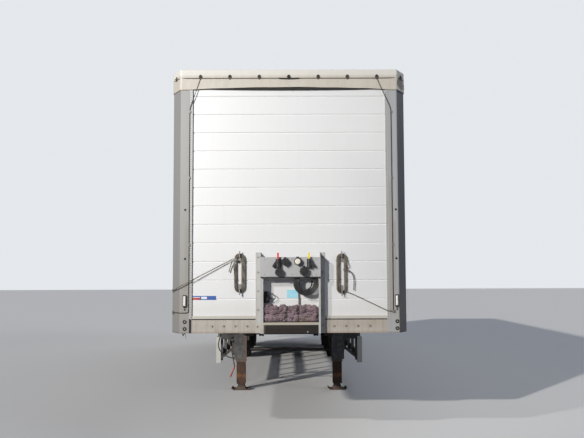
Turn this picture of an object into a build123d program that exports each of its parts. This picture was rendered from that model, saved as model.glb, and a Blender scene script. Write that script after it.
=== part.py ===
from build123d import *
import math
import os

os.makedirs("parts", exist_ok=True)

# A three-axle curtain-side semi trailer parked on its landing legs, uncoupled.
# Millimetres. X is across, Y runs from the front wall to the rear doors, Z is up.
# The origin is on the ground under the middle of the whole outline.

# Body
WIDTH = 2550
HEIGHT = 4000
BODY_LENGTH = 13600
FLOOR_TOP = 1295
FLOOR_THICK = 28
PANEL_FACE = 120       # how far the coupling panel stands before the pillars' front
SOCKET_DEEP = 45       # how far the sockets stand before the panel
FRONT_REACH = PANEL_FACE + SOCKET_DEEP
REAR_REACH = 105       # what stands behind the rear frame
FRONT = FRONT_REACH - (BODY_LENGTH + FRONT_REACH + REAR_REACH) / 2
REAR = FRONT + BODY_LENGTH
HALF = WIDTH / 2
SEAT = 0.3             # soft or curved pieces lie this far from what carries them

# Chassis
BEAM_X = 600
FLANGE_WIDE = 120
FLANGE_THICK = 12
WEB_THICK = 8
NECK_BOTTOM = 1140
DEEP_BOTTOM = 850
TAIL_BOTTOM = 1010
NECK_END = 3000        # behind the front, where the neck starts to deepen
DEEP_START = 3560
TAIL_START = 1450      # before the rear, where the beams start to rise
TAIL_END = 900
NECK_ROUND = 260
CROSS_DEPTH = 96
CROSS_FLANGE = 50
CROSS_SHEET = 6
CROSS_PITCH = 800
OUTRIGGER_TIP = 60

# Coupling to the tractor
KINGPIN_BACK = 1600
KINGPIN_NECK_R = 25.4
KINGPIN_HEAD_R = 35.5
KINGPIN_COLLAR_R = 36
PLATE_THICK = 10
PLATE_FRONT = 900      # before the kingpin
PLATE_BACK = 560       # behind the kingpin
PLATE_CORNER = 160
RIB_HIGH = 60

# Side rails, floor and curtain plane, in from the trailer's full width
RAIL_INSET = 19
RAIL_SHEET = 6
RAIL_BOTTOM = 1160
RAIL_LEDGE = 60
RAIL_LIP = 34
CURTAIN_INSET = 11
CURTAIN_THICK = 4
STRAP_INSET = 2
STRAP_WIDE = 44
STRAPS = 22
POST_WIDE_SIDE = 80
POST_LONG_SIDE = 110

# Front wall and corner pillars
PILLAR_WIDE = 235
CHAMFER_WIDE = 100
CHAMFER_DEEP = 180
PILLAR_DEEP = 235
PILLAR_BOTTOM = 1155
PILLAR_THICK = 75
PILLAR_SIDE = 55
PILLAR_HOLE_R = 11
LAMP_LEFT = -1114      # where the lamps and holes lie on the left and right pillars' faces
LAMP_RIGHT = 1145
MARKER_LAMP_WIDE = 40
MARKER_LAMP_LOW = 1434
MARKER_LAMP_TOP = 1561
SILL_DEEP = 70
RAIL_HIGH = 40
RAIL_GAP = 11
RAIL_FACE = 5          # how far the wall's foot rail lies behind the pillars' front
PLANK_FIRST = 179
PLANK_PITCH = 199
PLANKS = 12
PLANK_FACE = 15        # how far the planks lie behind the pillars' front
PLANK_THICK = 30
PLANK_GROOVE = 8
CAP_HIGH = 232
CAP_THICK = 5

# Roof
CANT_DROP = 45         # from the trailer's top to the cant rails' top
CANT_HIGH = 100
CANT_WIDE = 58
CANT_SHEET = 6
ROOF_SHEET = 6
ROOF_HEM = 52
BOWS = 14
BOW_WIDE = 40

# Rear frame and doors
POST_WIDE = 80
POST_DEEP = 130
BOARD_BOTTOM = 1000
DOOR_THICK = 34
DOOR_GAP = 6           # from the middle plane to each leaf
DOOR_INSET = 35
DOOR_UNDER = 38        # below the floor's top
DOOR_OVER = 105        # below the trailer's top
DOOR_RIB = 110
HINGE_OFF = 55         # pin behind the leaf's outer face
HINGE_PIN_R = 7
HINGE_FIRST = 190      # from the leaf's ends to the first and last hinge
HINGES = 4
KNUCKLE_R = 12.5
KNUCKLE_HIGH = 48
EAR_THICK = 8
EAR_GAP = 3
LOCK_ROD_R = 13.5
LOCK_PAST = 34         # how far the rods run past the leaf
KEEPER_GAP = 8
HANDLE_LONG = 250
HANDLE_HIGH = 30
HANDLE_Z = 1575

# Underrun bar, lamps and buffers
UNDERRUN_WIDE = 2360
UNDERRUN_TOP = 560
UNDERRUN_HIGH = 110
UNDERRUN_DEEP = 100
UNDERRUN_ARM = 40
LAMP_IN = 700
LAMP_OUT = 1140
LAMP_BOTTOM = 1015
LAMP_TOP = 1140
BUFFER_WIDE = 100

# Running gear
AXLES = 3
REAR_OVERHANG = 1980   # from the last axle to the rear frame
AXLE_PITCH = 1310
TRACK = 2040
TYRE_R = 536
TYRE_WIDE = 385
RIM_R = 286
RIM_WIDE = 300
BEAD_HALF = 142
LIP_HIGH = 16
AXLE_R = 63.5
STUB_R = 45
HUB_PLAY = 0.6
BRAKE_R = 215
CHAMBER_R = 70
ARM_WIDE = 100
PIVOT_R = 18
PIVOT_Z = 700
PIVOT_AHEAD = 500
SPRING_BACK = 380
SPRING_R = 150
BOLT_R = 11
DAMPER_R = 28
GUARD_GAP = 60
MUDGUARD_THICK = 8
FLAP_BOTTOM = 260

# Air tanks
TANK_BACK = 6600
TANK_R = 140
TANK_LONG = 840
TANK_X = 210

# Side guards
SIDE_GUARD_BACK = 60   # behind the landing legs' middle
SIDE_GUARD_GAP = 260   # before the first tyre
SIDE_GUARD_X = 1150
SIDE_RAIL_THICK = 30
SIDE_RAIL_HIGH = 110
SIDE_POST_DEEP = 45
SIDE_POST_LONG = 60
SIDE_POST_BOTTOM = 400
SIDE_RAIL_LOW = 420
SIDE_RAIL_UP = 690
SIDE_END_WIDE = 75
SIDE_END_TOP = 805
SIDE_FRAME_TOP = 905
SIDE_ARM_LOW = 770
SIDE_ARM_HIGH = 850
SIDE_BRACE_LEG = 700   # where the brace's top meets the leg
SIDE_BRACE_END = 505   # where it meets the first upright
SIDE_BRACE_HIGH = 55

# Landing legs
LEG_BACK = 4000
LEG_X = 750
LEG_WIDE = 160
LEG_DEEP = 160
LEG_BOTTOM = 427
LEG_TOP = 1140
LEG_PLATE_OUT = 25     # how far the leg's front plate stands out past it
INNER_WIDE = 138
FOOT_WIDE = 300
FOOT_DEEP = 250
FOOT_GAP = 90
SHAFT_Z = 620
SHAFT_R = 17

# Connection bracket on the front wall
BRACKET_LEFT = -310
BRACKET_RIGHT = 328
BRACKET_TOP = 2012
BRACKET_BOTTOM = 1155
BRACKET_DEEP = 100     # how far the cheeks stand before the pillars' front, below the panel
BRACKET_SHEET = 6
BRACKET_FOOT = 50      # the cheeks' flanges on the wall
FLANGE_LEFT = 34
FLANGE_RIGHT = 20
PANEL_BOTTOM = 1752
PANEL_TOP = 1958
SHELF_TOP = 1272
BUNDLE_HIGH = 196
BUNDLE_GAP = 2         # from the rolled tarpaulin to the sill

# Ropes, cables and the hooks that hold them on the front
ROPE_R = 5
HANK_WIDE = 118
HANK_BUNDLE = 32
HANK_DEEP = 26
CLIP_TOP = 1398        # the clip under the right roof cable
EYE_Z = 1371           # the eye on the left bevel that ends the left roof cable
EYELET_X = 956         # the cap's eyelets that the roof cables leave, and their level
EYELET_Z = 3900
CABLE_KNEE = 3558      # where the roof cables turn straight down, over their first clips
CABLE_R = 4            # the roof cables down the pillars
LEAD_R = 4             # the lead on the valve
HOSE_R = 8             # the hose from the frame to the left leg
COIL_R = 137.5         # the spare cable's coil, outside
COIL_BUNDLE = 60
COIL_DEEP = 36
COIL_X = 175
COIL_Z = 1687.5

# Side markers
MARKER_LONG = 110
MARKER_HIGH = 36
MARKER_THICK = 12
MARKERS = 6

# Levels and places that follow from the sizes above
RAIL_OUT = HALF - RAIL_INSET
CURTAIN_OUT = HALF - CURTAIN_INSET
STRAP_OUT = HALF - STRAP_INSET
PILLAR_IN = HALF - PILLAR_WIDE
DOOR_OUT = HALF - DOOR_INSET
DOOR_BOTTOM = FLOOR_TOP - DOOR_UNDER
DOOR_TOP = HEIGHT - DOOR_OVER
HINGE_X = HALF - KNUCKLE_R
CANT_TOP = HEIGHT - CANT_DROP
BEAM_TOP = FLOOR_TOP - FLOOR_THICK
AXLE_Z = TYRE_R
ARM_X = BEAM_X
WALL_BOTTOM = FLOOR_TOP + RAIL_HIGH
PILLAR_OUT = HALF - CAP_THICK - SEAT
HEAD_TOP = HEIGHT - ROOF_SHEET - SEAT
PIN_Y = REAR + DOOR_THICK + HINGE_OFF
LAST_AXLE = REAR - REAR_OVERHANG
AXLE_Y = [LAST_AXLE - (AXLES - 1 - i) * AXLE_PITCH for i in range(AXLES)]
LEG_Y = FRONT + LEG_BACK
KINGPIN_Y = FRONT + KINGPIN_BACK
PANEL_Y = FRONT - PANEL_FACE


def block(x0, x1, y0, y1, z0, z1):
    """A plain box between two corners."""
    return Pos((x0 + x1) / 2, (y0 + y1) / 2, (z0 + z1) / 2) * Box(x1 - x0, y1 - y0, z1 - z0)


def along_x(points, x0, x1, soft=(), radius=0):
    """A section of (y, z) points, drawn out across the trailer, with its soft corners rounded."""
    face = Polygon(*points, align=None)
    if soft:
        near = [v for v in face.vertices() if any(math.dist((v.X, v.Y), place) < 0.01 for place in soft)]
        face = fillet(near, radius)
    plane = Plane(origin=(x0, 0, 0), x_dir=(0, 1, 0), z_dir=(1, 0, 0))
    return extrude(plane * face, x1 - x0, dir=(1, 0, 0))


def along_y(points, y0, y1):
    """A section of (x, z) points, drawn out along the trailer."""
    plane = Plane(origin=(0, y0, 0), x_dir=(1, 0, 0), z_dir=(0, -1, 0))
    return extrude(plane * Polygon(*points, align=None), y1 - y0, dir=(0, 1, 0))


def along_z(points, z0, z1):
    """A section of (x, y) points, drawn upwards."""
    return extrude(Plane.XY.offset(z0) * Polygon(*points, align=None), z1 - z0, dir=(0, 0, 1))


def rod(start, end, radius):
    """A round bar between two points."""
    run = Vector(*end) - Vector(*start)
    return Solid.make_cylinder(radius, run.length, Plane(origin=start, z_dir=run))


def turned(points, x):
    """A closed section of (radius, across) points, turned about a wheel's axis at the origin, moved to x."""
    plane = Plane(origin=(0, 0, 0), x_dir=(0, 0, 1), z_dir=(0, 1, 0))
    return Pos(x, 0, 0) * revolve(plane * Polygon(*points, align=None), Axis.X)


def tube(points, radius, bends):
    """A round tube along straight runs joined by arcs, one bend radius for each corner."""
    path = FilletPolyline(*points, radius=bends)
    start = Vector(*points[0])
    section = Plane(origin=start, z_dir=Vector(*points[1]) - start) * Circle(radius)
    return sweep(section, path=path)


def cord_tube(name, points, radius):
    """A free cord's tube, with each arc as large as its two runs allow."""
    corners = [Vector(*point) for point in points]
    runs = [b - a for a, b in zip(corners, corners[1:])]
    bends = []
    for before, after in zip(runs, runs[1:]):
        turn = math.radians(before.get_angle(after))
        bends.append(0.45 * min(before.length, after.length) / math.tan(turn / 2))
    shape = tube(points, radius, bends)
    path = FilletPolyline(*points, radius=bends)
    share = shape.volume / (math.pi * radius**2 * path.length)
    print(name, "radii", [round(bend) for bend in bends], "length", round(path.length), "volume share", round(share, 4))
    return shape


def both_sides(shapes):
    """The right-hand shapes and their mirror images on the left."""
    return shapes + [mirror(shape, Plane.YZ) for shape in shapes]


def save(node, shapes):
    """One file for a node, with every solid of it."""
    solids = [solid for shape in shapes for solid in shape.solids()]
    export_step(Compound(children=solids), "parts/" + node + ".step")


def chassis_beams():
    """Two welded I-beams with a shallow neck over the tractor, a deep middle and a shallow tail."""
    back = REAR - POST_DEEP
    front = FRONT + SILL_DEEP
    low = [
        (front, NECK_BOTTOM),
        (FRONT + NECK_END, NECK_BOTTOM),
        (FRONT + DEEP_START, DEEP_BOTTOM),
        (REAR - TAIL_START, DEEP_BOTTOM),
        (REAR - TAIL_END, TAIL_BOTTOM),
        (back, TAIL_BOTTOM),
    ]
    outline = low + [(back, BEAM_TOP), (front, BEAM_TOP)]
    x0 = BEAM_X - FLANGE_WIDE / 2
    x1 = BEAM_X + FLANGE_WIDE / 2
    beam = along_x(outline, x0, x1, low[1:5], NECK_ROUND)
    inner = [(y, z + FLANGE_THICK) for y, z in low]
    inner[0] = (front - 1, NECK_BOTTOM + FLANGE_THICK)
    inner[-1] = (back + 1, TAIL_BOTTOM + FLANGE_THICK)
    pocket = inner + [(back + 1, BEAM_TOP - FLANGE_THICK), (front - 1, BEAM_TOP - FLANGE_THICK)]
    for side in (0, 1):
        start = (BEAM_X - FLANGE_WIDE, BEAM_X + WEB_THICK / 2)[side]
        end = (BEAM_X - WEB_THICK / 2, BEAM_X + FLANGE_WIDE)[side]
        beam -= along_x(pocket, start, end, inner[1:5], NECK_ROUND)
    save("chassis_beams", both_sides([beam]))


def cross_places():
    """Where each cross member's front face lies along the trailer."""
    start = FRONT + SILL_DEEP + 330
    end = REAR - POST_DEEP - 200
    count = int((end - start) / CROSS_PITCH) + 1
    return [start + i * (end - start) / (count - 1) for i in range(count)]


def cross_members():
    """Channels between the beams and tapered outriggers from the beams to the side rails."""
    web_in = BEAM_X - WEB_THICK / 2
    web_out = BEAM_X + WEB_THICK / 2
    flange_in = BEAM_X - FLANGE_WIDE / 2
    flange_out = BEAM_X + FLANGE_WIDE / 2
    low = BEAM_TOP - CROSS_DEPTH
    inset = CROSS_SHEET
    channel = [
        (0, low),
        (CROSS_FLANGE, low),
        (CROSS_FLANGE, low + inset),
        (inset, low + inset),
        (inset, BEAM_TOP - inset),
        (CROSS_FLANGE, BEAM_TOP - inset),
        (CROSS_FLANGE, BEAM_TOP),
        (0, BEAM_TOP),
    ]
    middle = along_x(channel, -web_in, web_in)
    under_flange = BEAM_TOP - FLANGE_THICK
    middle -= block(flange_in, web_in + 1, -1, CROSS_FLANGE + 1, under_flange, BEAM_TOP + 1)
    middle -= block(-web_in - 1, -flange_in, -1, CROSS_FLANGE + 1, under_flange, BEAM_TOP + 1)
    tip = RAIL_OUT - RAIL_LEDGE
    plate = [(web_out, low), (tip, BEAM_TOP - OUTRIGGER_TIP), (tip, BEAM_TOP), (web_out, BEAM_TOP)]
    wing = along_y(plate, 0, inset)
    wing += block(web_out, tip, 0, CROSS_FLANGE, BEAM_TOP - inset, BEAM_TOP)
    wing -= block(web_out - 1, flange_out, -1, CROSS_FLANGE + 1, under_flange, BEAM_TOP + 1)
    solids = []
    for y in cross_places():
        place = Pos(0, y, 0)
        solids += [place * middle] + [place * s for s in both_sides([wing])]
    save("cross_members", solids)


def coupler():
    """The rubbing plate under the neck, stiffened by ribs, and the kingpin that passes through it."""
    wide = BEAM_X + FLANGE_WIDE / 2
    top = NECK_BOTTOM
    plate = [
        (-wide, KINGPIN_Y + PLATE_BACK),
        (-wide, KINGPIN_Y - PLATE_FRONT + PLATE_CORNER),
        (-wide + PLATE_CORNER, KINGPIN_Y - PLATE_FRONT),
        (wide - PLATE_CORNER, KINGPIN_Y - PLATE_FRONT),
        (wide, KINGPIN_Y - PLATE_FRONT + PLATE_CORNER),
        (wide, KINGPIN_Y + PLATE_BACK),
    ]
    shape = along_z(plate, top - PLATE_THICK, top)
    shape -= rod((0, KINGPIN_Y, top - PLATE_THICK - 1), (0, KINGPIN_Y, top + 1), KINGPIN_COLLAR_R + SEAT)
    rib_end = BEAM_X - FLANGE_WIDE / 2
    for y in (KINGPIN_Y - 620, KINGPIN_Y - 330, KINGPIN_Y + 330):
        shape += block(-rib_end, rib_end, y, y + CROSS_SHEET, top, top + RIB_HIGH)
    shape += block(-rib_end, rib_end, KINGPIN_Y - 150, KINGPIN_Y + 150, top, top + 20)
    save("coupler_plate", [shape])
    pin = Pos(0, KINGPIN_Y, top) * Rot(180, 0, 0)
    low = PLATE_THICK
    turned_pin = [
        (0, 0),
        (KINGPIN_COLLAR_R, 0),
        (KINGPIN_COLLAR_R, low + 8),
        (KINGPIN_NECK_R, low + 16),
        (KINGPIN_NECK_R, low + 50),
        (KINGPIN_HEAD_R, low + 50),
        (KINGPIN_HEAD_R, low + 78),
        (30, low + 84),
        (0, low + 84),
    ]
    save("kingpin", [pin * revolve(Plane.XZ * Polygon(*turned_pin, align=None), Axis.Z)])


def side_rails():
    """Outer rails with a ledge for the floor and a lip for the curtain hooks."""
    out = RAIL_OUT
    web = RAIL_OUT - RAIL_SHEET
    ledge = RAIL_OUT - RAIL_LEDGE
    lip = RAIL_OUT - RAIL_LIP
    section = [
        (out, RAIL_BOTTOM),
        (out, FLOOR_TOP + 12),
        (lip, FLOOR_TOP + 12),
        (lip, FLOOR_TOP + 6),
        (web, FLOOR_TOP + 6),
        (web, BEAM_TOP),
        (ledge, BEAM_TOP),
        (ledge, BEAM_TOP - RAIL_SHEET),
        (web, BEAM_TOP - RAIL_SHEET),
        (web, RAIL_BOTTOM + RAIL_SHEET),
        (lip, RAIL_BOTTOM + RAIL_SHEET),
        (lip, RAIL_BOTTOM),
    ]
    rail = along_y(section, FRONT + PILLAR_DEEP, REAR - POST_DEEP)
    save("side_rails", both_sides([rail]))


def floor_deck():
    """The load floor on the cross members and the rails' ledges."""
    edge = RAIL_OUT - RAIL_SHEET - 2
    deck = block(-edge, edge, FRONT + PILLAR_DEEP, REAR - POST_DEEP, BEAM_TOP, FLOOR_TOP)
    deck += block(-PILLAR_IN, PILLAR_IN, FRONT + SILL_DEEP, FRONT + PILLAR_DEEP, BEAM_TOP, FLOOR_TOP)
    save("floor_deck", [deck])


def front_sill():
    """The folded beam that closes the frame's front end."""
    t = CROSS_SHEET
    section = [
        (FRONT, PILLAR_BOTTOM),
        (FRONT + SILL_DEEP, PILLAR_BOTTOM),
        (FRONT + SILL_DEEP, PILLAR_BOTTOM + t),
        (FRONT + t, PILLAR_BOTTOM + t),
        (FRONT + t, FLOOR_TOP - t),
        (FRONT + SILL_DEEP, FLOOR_TOP - t),
        (FRONT + SILL_DEEP, FLOOR_TOP),
        (FRONT, FLOOR_TOP),
    ]
    save("front_sill", [along_x(section, -PILLAR_IN, PILLAR_IN)])


def front_wall():
    """Level planks with a groove at each joint, on a bottom rail, under a head beam."""
    face = FRONT + PLANK_FACE
    foot = FRONT + RAIL_FACE
    points = [(face + PLANK_THICK, FLOOR_TOP), (face, FLOOR_TOP), (face, FLOOR_TOP + RAIL_GAP)]
    points += [(foot, FLOOR_TOP + RAIL_GAP), (foot, WALL_BOTTOM), (face, WALL_BOTTOM)]
    for i in range(PLANKS):
        z = WALL_BOTTOM + PLANK_FIRST + i * PLANK_PITCH
        points += [(face, z - PLANK_GROOVE), (face + PLANK_GROOVE, z), (face, z + PLANK_GROOVE)]
    points += [(face, HEAD_TOP), (face + PLANK_THICK, HEAD_TOP)]
    save("front_wall", [along_x(points, -PILLAR_IN, PILLAR_IN)])


def corner_outline(grow):
    """The bevelled front right corner in plan, moved outwards by grow, from the front face to the side."""
    bevel = math.atan2(CHAMFER_DEEP, CHAMFER_WIDE)
    front_shift = grow * math.tan(bevel / 2)
    side_shift = grow * math.tan((math.pi / 2 - bevel) / 2)
    return [
        (PILLAR_OUT - CHAMFER_WIDE + front_shift, FRONT - grow),
        (PILLAR_OUT + grow, FRONT + CHAMFER_DEEP - side_shift),
        (PILLAR_OUT + grow, FRONT + PILLAR_DEEP),
    ]


def pillar_plan():
    """The right pillar's plan: front face, bevel, the return along the side and the inner faces."""
    inner = PILLAR_OUT - PILLAR_SIDE
    return [(PILLAR_IN, FRONT)] + corner_outline(0) + [
        (inner, FRONT + PILLAR_DEEP),
        (inner, FRONT + CHAMFER_DEEP - 20),
        (PILLAR_OUT - CHAMFER_WIDE - 25, FRONT + PILLAR_THICK),
        (PILLAR_IN, FRONT + PILLAR_THICK),
    ]


def bevel_point(along, off):
    """A plan place on the right pillar's bevel: so far from its front corner, so far off its face."""
    long = math.hypot(CHAMFER_WIDE, CHAMFER_DEEP)
    step = (CHAMFER_WIDE / long, CHAMFER_DEEP / long)
    x = PILLAR_OUT - CHAMFER_WIDE + step[0] * along + step[1] * off
    return (x, FRONT + step[1] * along - step[0] * off)


def front_pillars():
    """Folded corner pillars with a bevelled outer corner."""
    pillars = both_sides([along_z(pillar_plan(), PILLAR_BOTTOM, HEAD_TOP)])
    drilled = []
    for pillar, x in zip(pillars, (LAMP_RIGHT, LAMP_LEFT)):
        for z in (1202, 1276, 1944, 2469):
            pillar -= rod((x, FRONT - 1, z), (x, FRONT + 12, z), PILLAR_HOLE_R)
        drilled.append(pillar)
    save("front_pillars", drilled)


def front_cap():
    """The tarpaulin flap that hangs over the head of the wall and round both corners."""
    low = HEIGHT - CAP_HIGH
    outer = corner_outline(SEAT + CAP_THICK)
    inner = corner_outline(SEAT)
    inner[-1] = (inner[-1][0], FRONT + PILLAR_DEEP + 1)
    cover = along_z(outer[::-1] + [(-x, y) for x, y in outer], low, HEIGHT)
    cover -= along_z(inner[::-1] + [(-x, y) for x, y in inner], low - 1, HEIGHT - ROOF_SHEET)
    save("front_cap", [cover])


def roof():
    """Cant rails, bows and the tarpaulin over them."""
    out = CURTAIN_OUT - CURTAIN_THICK - 4
    inside = out - CANT_WIDE
    low = CANT_TOP - CANT_HIGH
    y0 = FRONT + PILLAR_DEEP
    y1 = REAR - POST_DEEP
    t = CANT_SHEET
    section = [
        (out, CANT_TOP),
        (inside, CANT_TOP),
        (inside, CANT_TOP - 36),
        (inside + t, CANT_TOP - 36),
        (inside + t, CANT_TOP - t),
        (out - t, CANT_TOP - t),
        (out - t, low + 30),
        (inside + 14, low + 30),
        (inside + 14, low),
        (out, low),
    ]
    save("cant_rails", both_sides([along_y(section, y0, y1)]))
    bow_top = HEAD_TOP
    step = (y1 - y0 - 260) / (BOWS - 1)
    bows = []
    for i in range(BOWS):
        y = y0 + 130 + i * step
        bows.append(block(-out + 4, out - 4, y - BOW_WIDE / 2, y + BOW_WIDE / 2, CANT_TOP, bow_top))
    save("roof_bows", bows)
    edge = STRAP_OUT - 3
    drop = ROOF_HEM
    sheet = [
        (-edge, HEIGHT - drop),
        (-edge, HEIGHT),
        (edge, HEIGHT),
        (edge, HEIGHT - drop),
        (edge - 4, HEIGHT - drop),
        (edge - 4, HEIGHT - ROOF_SHEET),
        (-edge + 4, HEIGHT - ROOF_SHEET),
        (-edge + 4, HEIGHT - drop),
    ]
    save("roof_tarp", [along_y(sheet, y0 + 2, y1 - 2)])


def strap_places():
    """Where each curtain strap's middle lies along the trailer."""
    start = FRONT + PILLAR_DEEP + 252
    end = REAR - POST_DEEP - 252
    return [start + i * (end - start) / (STRAPS - 1) for i in range(STRAPS)]


def curtains():
    """A curtain along each side, with its straps, and the posts that stand inside it."""
    y0 = FRONT + PILLAR_DEEP + 2
    y1 = REAR - POST_DEEP - 2
    low = FLOOR_TOP - 85
    sheet = block(CURTAIN_OUT - CURTAIN_THICK, CURTAIN_OUT, y0, y1, low, HEIGHT - 60)
    save("curtains", both_sides([sheet]))
    straps = []
    for y in strap_places():
        half = STRAP_WIDE / 2
        strap = block(CURTAIN_OUT + SEAT, STRAP_OUT, y - half, y + half, RAIL_BOTTOM - 20, low + 235)
        hook = block(RAIL_OUT - 24, STRAP_OUT, y - half + 6, y + half - 6, RAIL_BOTTOM - 8, RAIL_BOTTOM - SEAT)
        straps.append(strap + hook)
    save("curtain_straps", both_sides(straps))
    posts = []
    post_out = RAIL_OUT - RAIL_LIP - 2
    for share in (0.27, 0.52, 0.77):
        y0 = FRONT + share * BODY_LENGTH - POST_LONG_SIDE / 2
        y1 = y0 + POST_LONG_SIDE
        posts.append(block(post_out - POST_WIDE_SIDE, post_out, y0, y1, FLOOR_TOP, CANT_TOP - CANT_HIGH))
    save("side_posts", both_sides(posts))


def rear_portal():
    """The rear frame: corner posts with hinge ears, head beam, sill, rod keepers and the lamp board."""
    y0 = REAR - POST_DEEP
    frame = block(-HALF, HALF, y0, REAR, PILLAR_BOTTOM, FLOOR_TOP)
    frame += block(-HALF, HALF, y0, REAR, CANT_TOP - CANT_HIGH, HEIGHT)
    for side in (-1, 1):
        inner = side * (HALF - POST_WIDE)
        frame += block(min(inner, side * HALF), max(inner, side * HALF), y0, REAR, FLOOR_TOP, CANT_TOP)
    frame += block(-LAMP_OUT, LAMP_OUT, REAR - 46, REAR - 40, BOARD_BOTTOM, PILLAR_BOTTOM)
    for x in lock_places():
        for side in (-1, 1):
            for z0, z1 in ((DOOR_BOTTOM - LOCK_PAST - KEEPER_GAP - 24, DOOR_BOTTOM - LOCK_PAST - KEEPER_GAP),
                           (DOOR_TOP + LOCK_PAST + KEEPER_GAP, DOOR_TOP + LOCK_PAST + KEEPER_GAP + 24)):
                frame += block(side * x - 32, side * x + 32, REAR, REAR + DOOR_THICK + 22, z0, z1)
    reach = PIN_Y + KNUCKLE_R
    pin_half = KNUCKLE_HIGH / 2 + EAR_GAP + EAR_THICK
    for z in hinge_levels():
        for side in (-1, 1):
            x = side * HINGE_X
            for turn in (-1, 1):
                z0 = z + turn * (KNUCKLE_HIGH / 2 + EAR_GAP + EAR_THICK / 2)
                frame += block(x - KNUCKLE_R, x + KNUCKLE_R, REAR, reach, z0 - EAR_THICK / 2, z0 + EAR_THICK / 2)
            frame += rod((x, PIN_Y, z - pin_half), (x, PIN_Y, z + pin_half), HINGE_PIN_R)
    save("rear_portal", [frame])


def hinge_levels():
    """Where each hinge lies up a leaf."""
    low = DOOR_BOTTOM + HINGE_FIRST
    high = DOOR_TOP - HINGE_FIRST
    return [low + i * (high - low) / (HINGES - 1) for i in range(HINGES)]


def lock_places():
    """Where each locking rod stands across the right leaf."""
    return (DOOR_GAP + 324, DOOR_OUT - 320)


def doors():
    """Two ribbed leaves that overlap the rear frame, with hinge blades and locking rods."""
    face = REAR + DOOR_THICK
    leaf = block(DOOR_GAP, DOOR_OUT, REAR + 0.5, face, DOOR_BOTTOM, DOOR_TOP)
    ribs = int((DOOR_OUT - DOOR_GAP) / DOOR_RIB)
    for i in range(1, ribs):
        x = DOOR_GAP + i * (DOOR_OUT - DOOR_GAP) / ribs
        groove = [(x - 5, face + 1), (x - 4, face), (x, face - 4), (x + 4, face), (x + 5, face + 1)]
        leaf -= along_z(groove, DOOR_BOTTOM + 60, DOOR_TOP - 60)
    for z in hinge_levels():
        z0 = z - KNUCKLE_HIGH / 2
        z1 = z + KNUCKLE_HIGH / 2
        blade = block(DOOR_OUT - 240, DOOR_OUT, face, face + 8, z0, z1)
        arm = [
            (DOOR_OUT - 8, face),
            (HINGE_X + 7, PIN_Y - 7),
            (HINGE_X - 7, PIN_Y + 8),
            (DOOR_OUT - 26, face + 8),
            (DOOR_OUT - 26, face),
        ]
        blade += along_z(arm, z0, z1)
        blade += rod((HINGE_X, PIN_Y, z0), (HINGE_X, PIN_Y, z1), KNUCKLE_R)
        blade -= rod((HINGE_X, PIN_Y, z0 - 1), (HINGE_X, PIN_Y, z1 + 1), HINGE_PIN_R + 0.4)
        leaf += blade
    rod_y = face + 1 + LOCK_ROD_R
    low_handle = HANDLE_Z - HANDLE_HIGH / 2
    locks = []
    for x, side in zip(lock_places(), (1, -1)):
        lock = rod((x, rod_y, DOOR_BOTTOM - LOCK_PAST), (x, rod_y, DOOR_TOP + LOCK_PAST), LOCK_ROD_R)
        for z in (DOOR_BOTTOM + 60, (DOOR_BOTTOM + HANDLE_Z) / 2, 2060, 2900, DOOR_TOP - 60):
            lock += block(x - 45, x + 45, face, face + 10, z - 30, z + 30)
            lock += block(x - 20, x + 20, face, rod_y + LOCK_ROD_R + 2, z - 20, z + 20)
        for z in (DOOR_BOTTOM - LOCK_PAST, DOOR_TOP + LOCK_PAST - 26):
            lock += block(x - 24, x + 24, rod_y - 6, rod_y + 14, z, z + 26)
        tip = x + side * HANDLE_LONG
        lock += block(min(x, tip), max(x, tip), rod_y - 4, rod_y + 8, low_handle, low_handle + HANDLE_HIGH)
        lock += block(tip - 20, tip + 20, face, rod_y + 8, low_handle - 15, low_handle + HANDLE_HIGH + 15)
        locks.append(lock)
    save("door_right", [leaf])
    save("door_locks_right", locks)
    save("door_left", [mirror(leaf, Plane.YZ)])
    save("door_locks_left", [mirror(lock, Plane.YZ) for lock in locks])


def rear_gear():
    """Underrun bar on its two arms, lamps and rubber buffers."""
    low = UNDERRUN_TOP - UNDERRUN_HIGH
    back = REAR - 10
    bar = block(-UNDERRUN_WIDE / 2, UNDERRUN_WIDE / 2, back - UNDERRUN_DEEP, back, low, UNDERRUN_TOP)
    hanger = [
        (REAR - 330, TAIL_BOTTOM),
        (REAR - 150, TAIL_BOTTOM),
        (back - 20, UNDERRUN_TOP),
        (back - UNDERRUN_DEEP, UNDERRUN_TOP),
    ]
    for side in (-1, 1):
        middle = side * BEAM_X
        bar += along_x(hanger, middle - UNDERRUN_ARM / 2, middle + UNDERRUN_ARM / 2)
    save("underrun_bar", [bar])
    lamp = block(LAMP_IN, LAMP_OUT, REAR - 40, REAR + 10, LAMP_BOTTOM, LAMP_TOP)
    lamp = fillet(lamp.edges().filter_by(Axis.Y), 18)
    save("rear_lamps", both_sides([lamp]))
    out = HALF - 25
    top = DOOR_BOTTOM - LOCK_PAST - KEEPER_GAP
    buffer = block(out - BUFFER_WIDE, out, REAR, REAR + REAR_REACH, PILLAR_BOTTOM + 2, top - 4)
    buffer = fillet(buffer.edges().filter_by(Axis.X).group_by(Axis.Y)[-1], 20)
    save("buffers", both_sides([buffer]))


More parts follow.
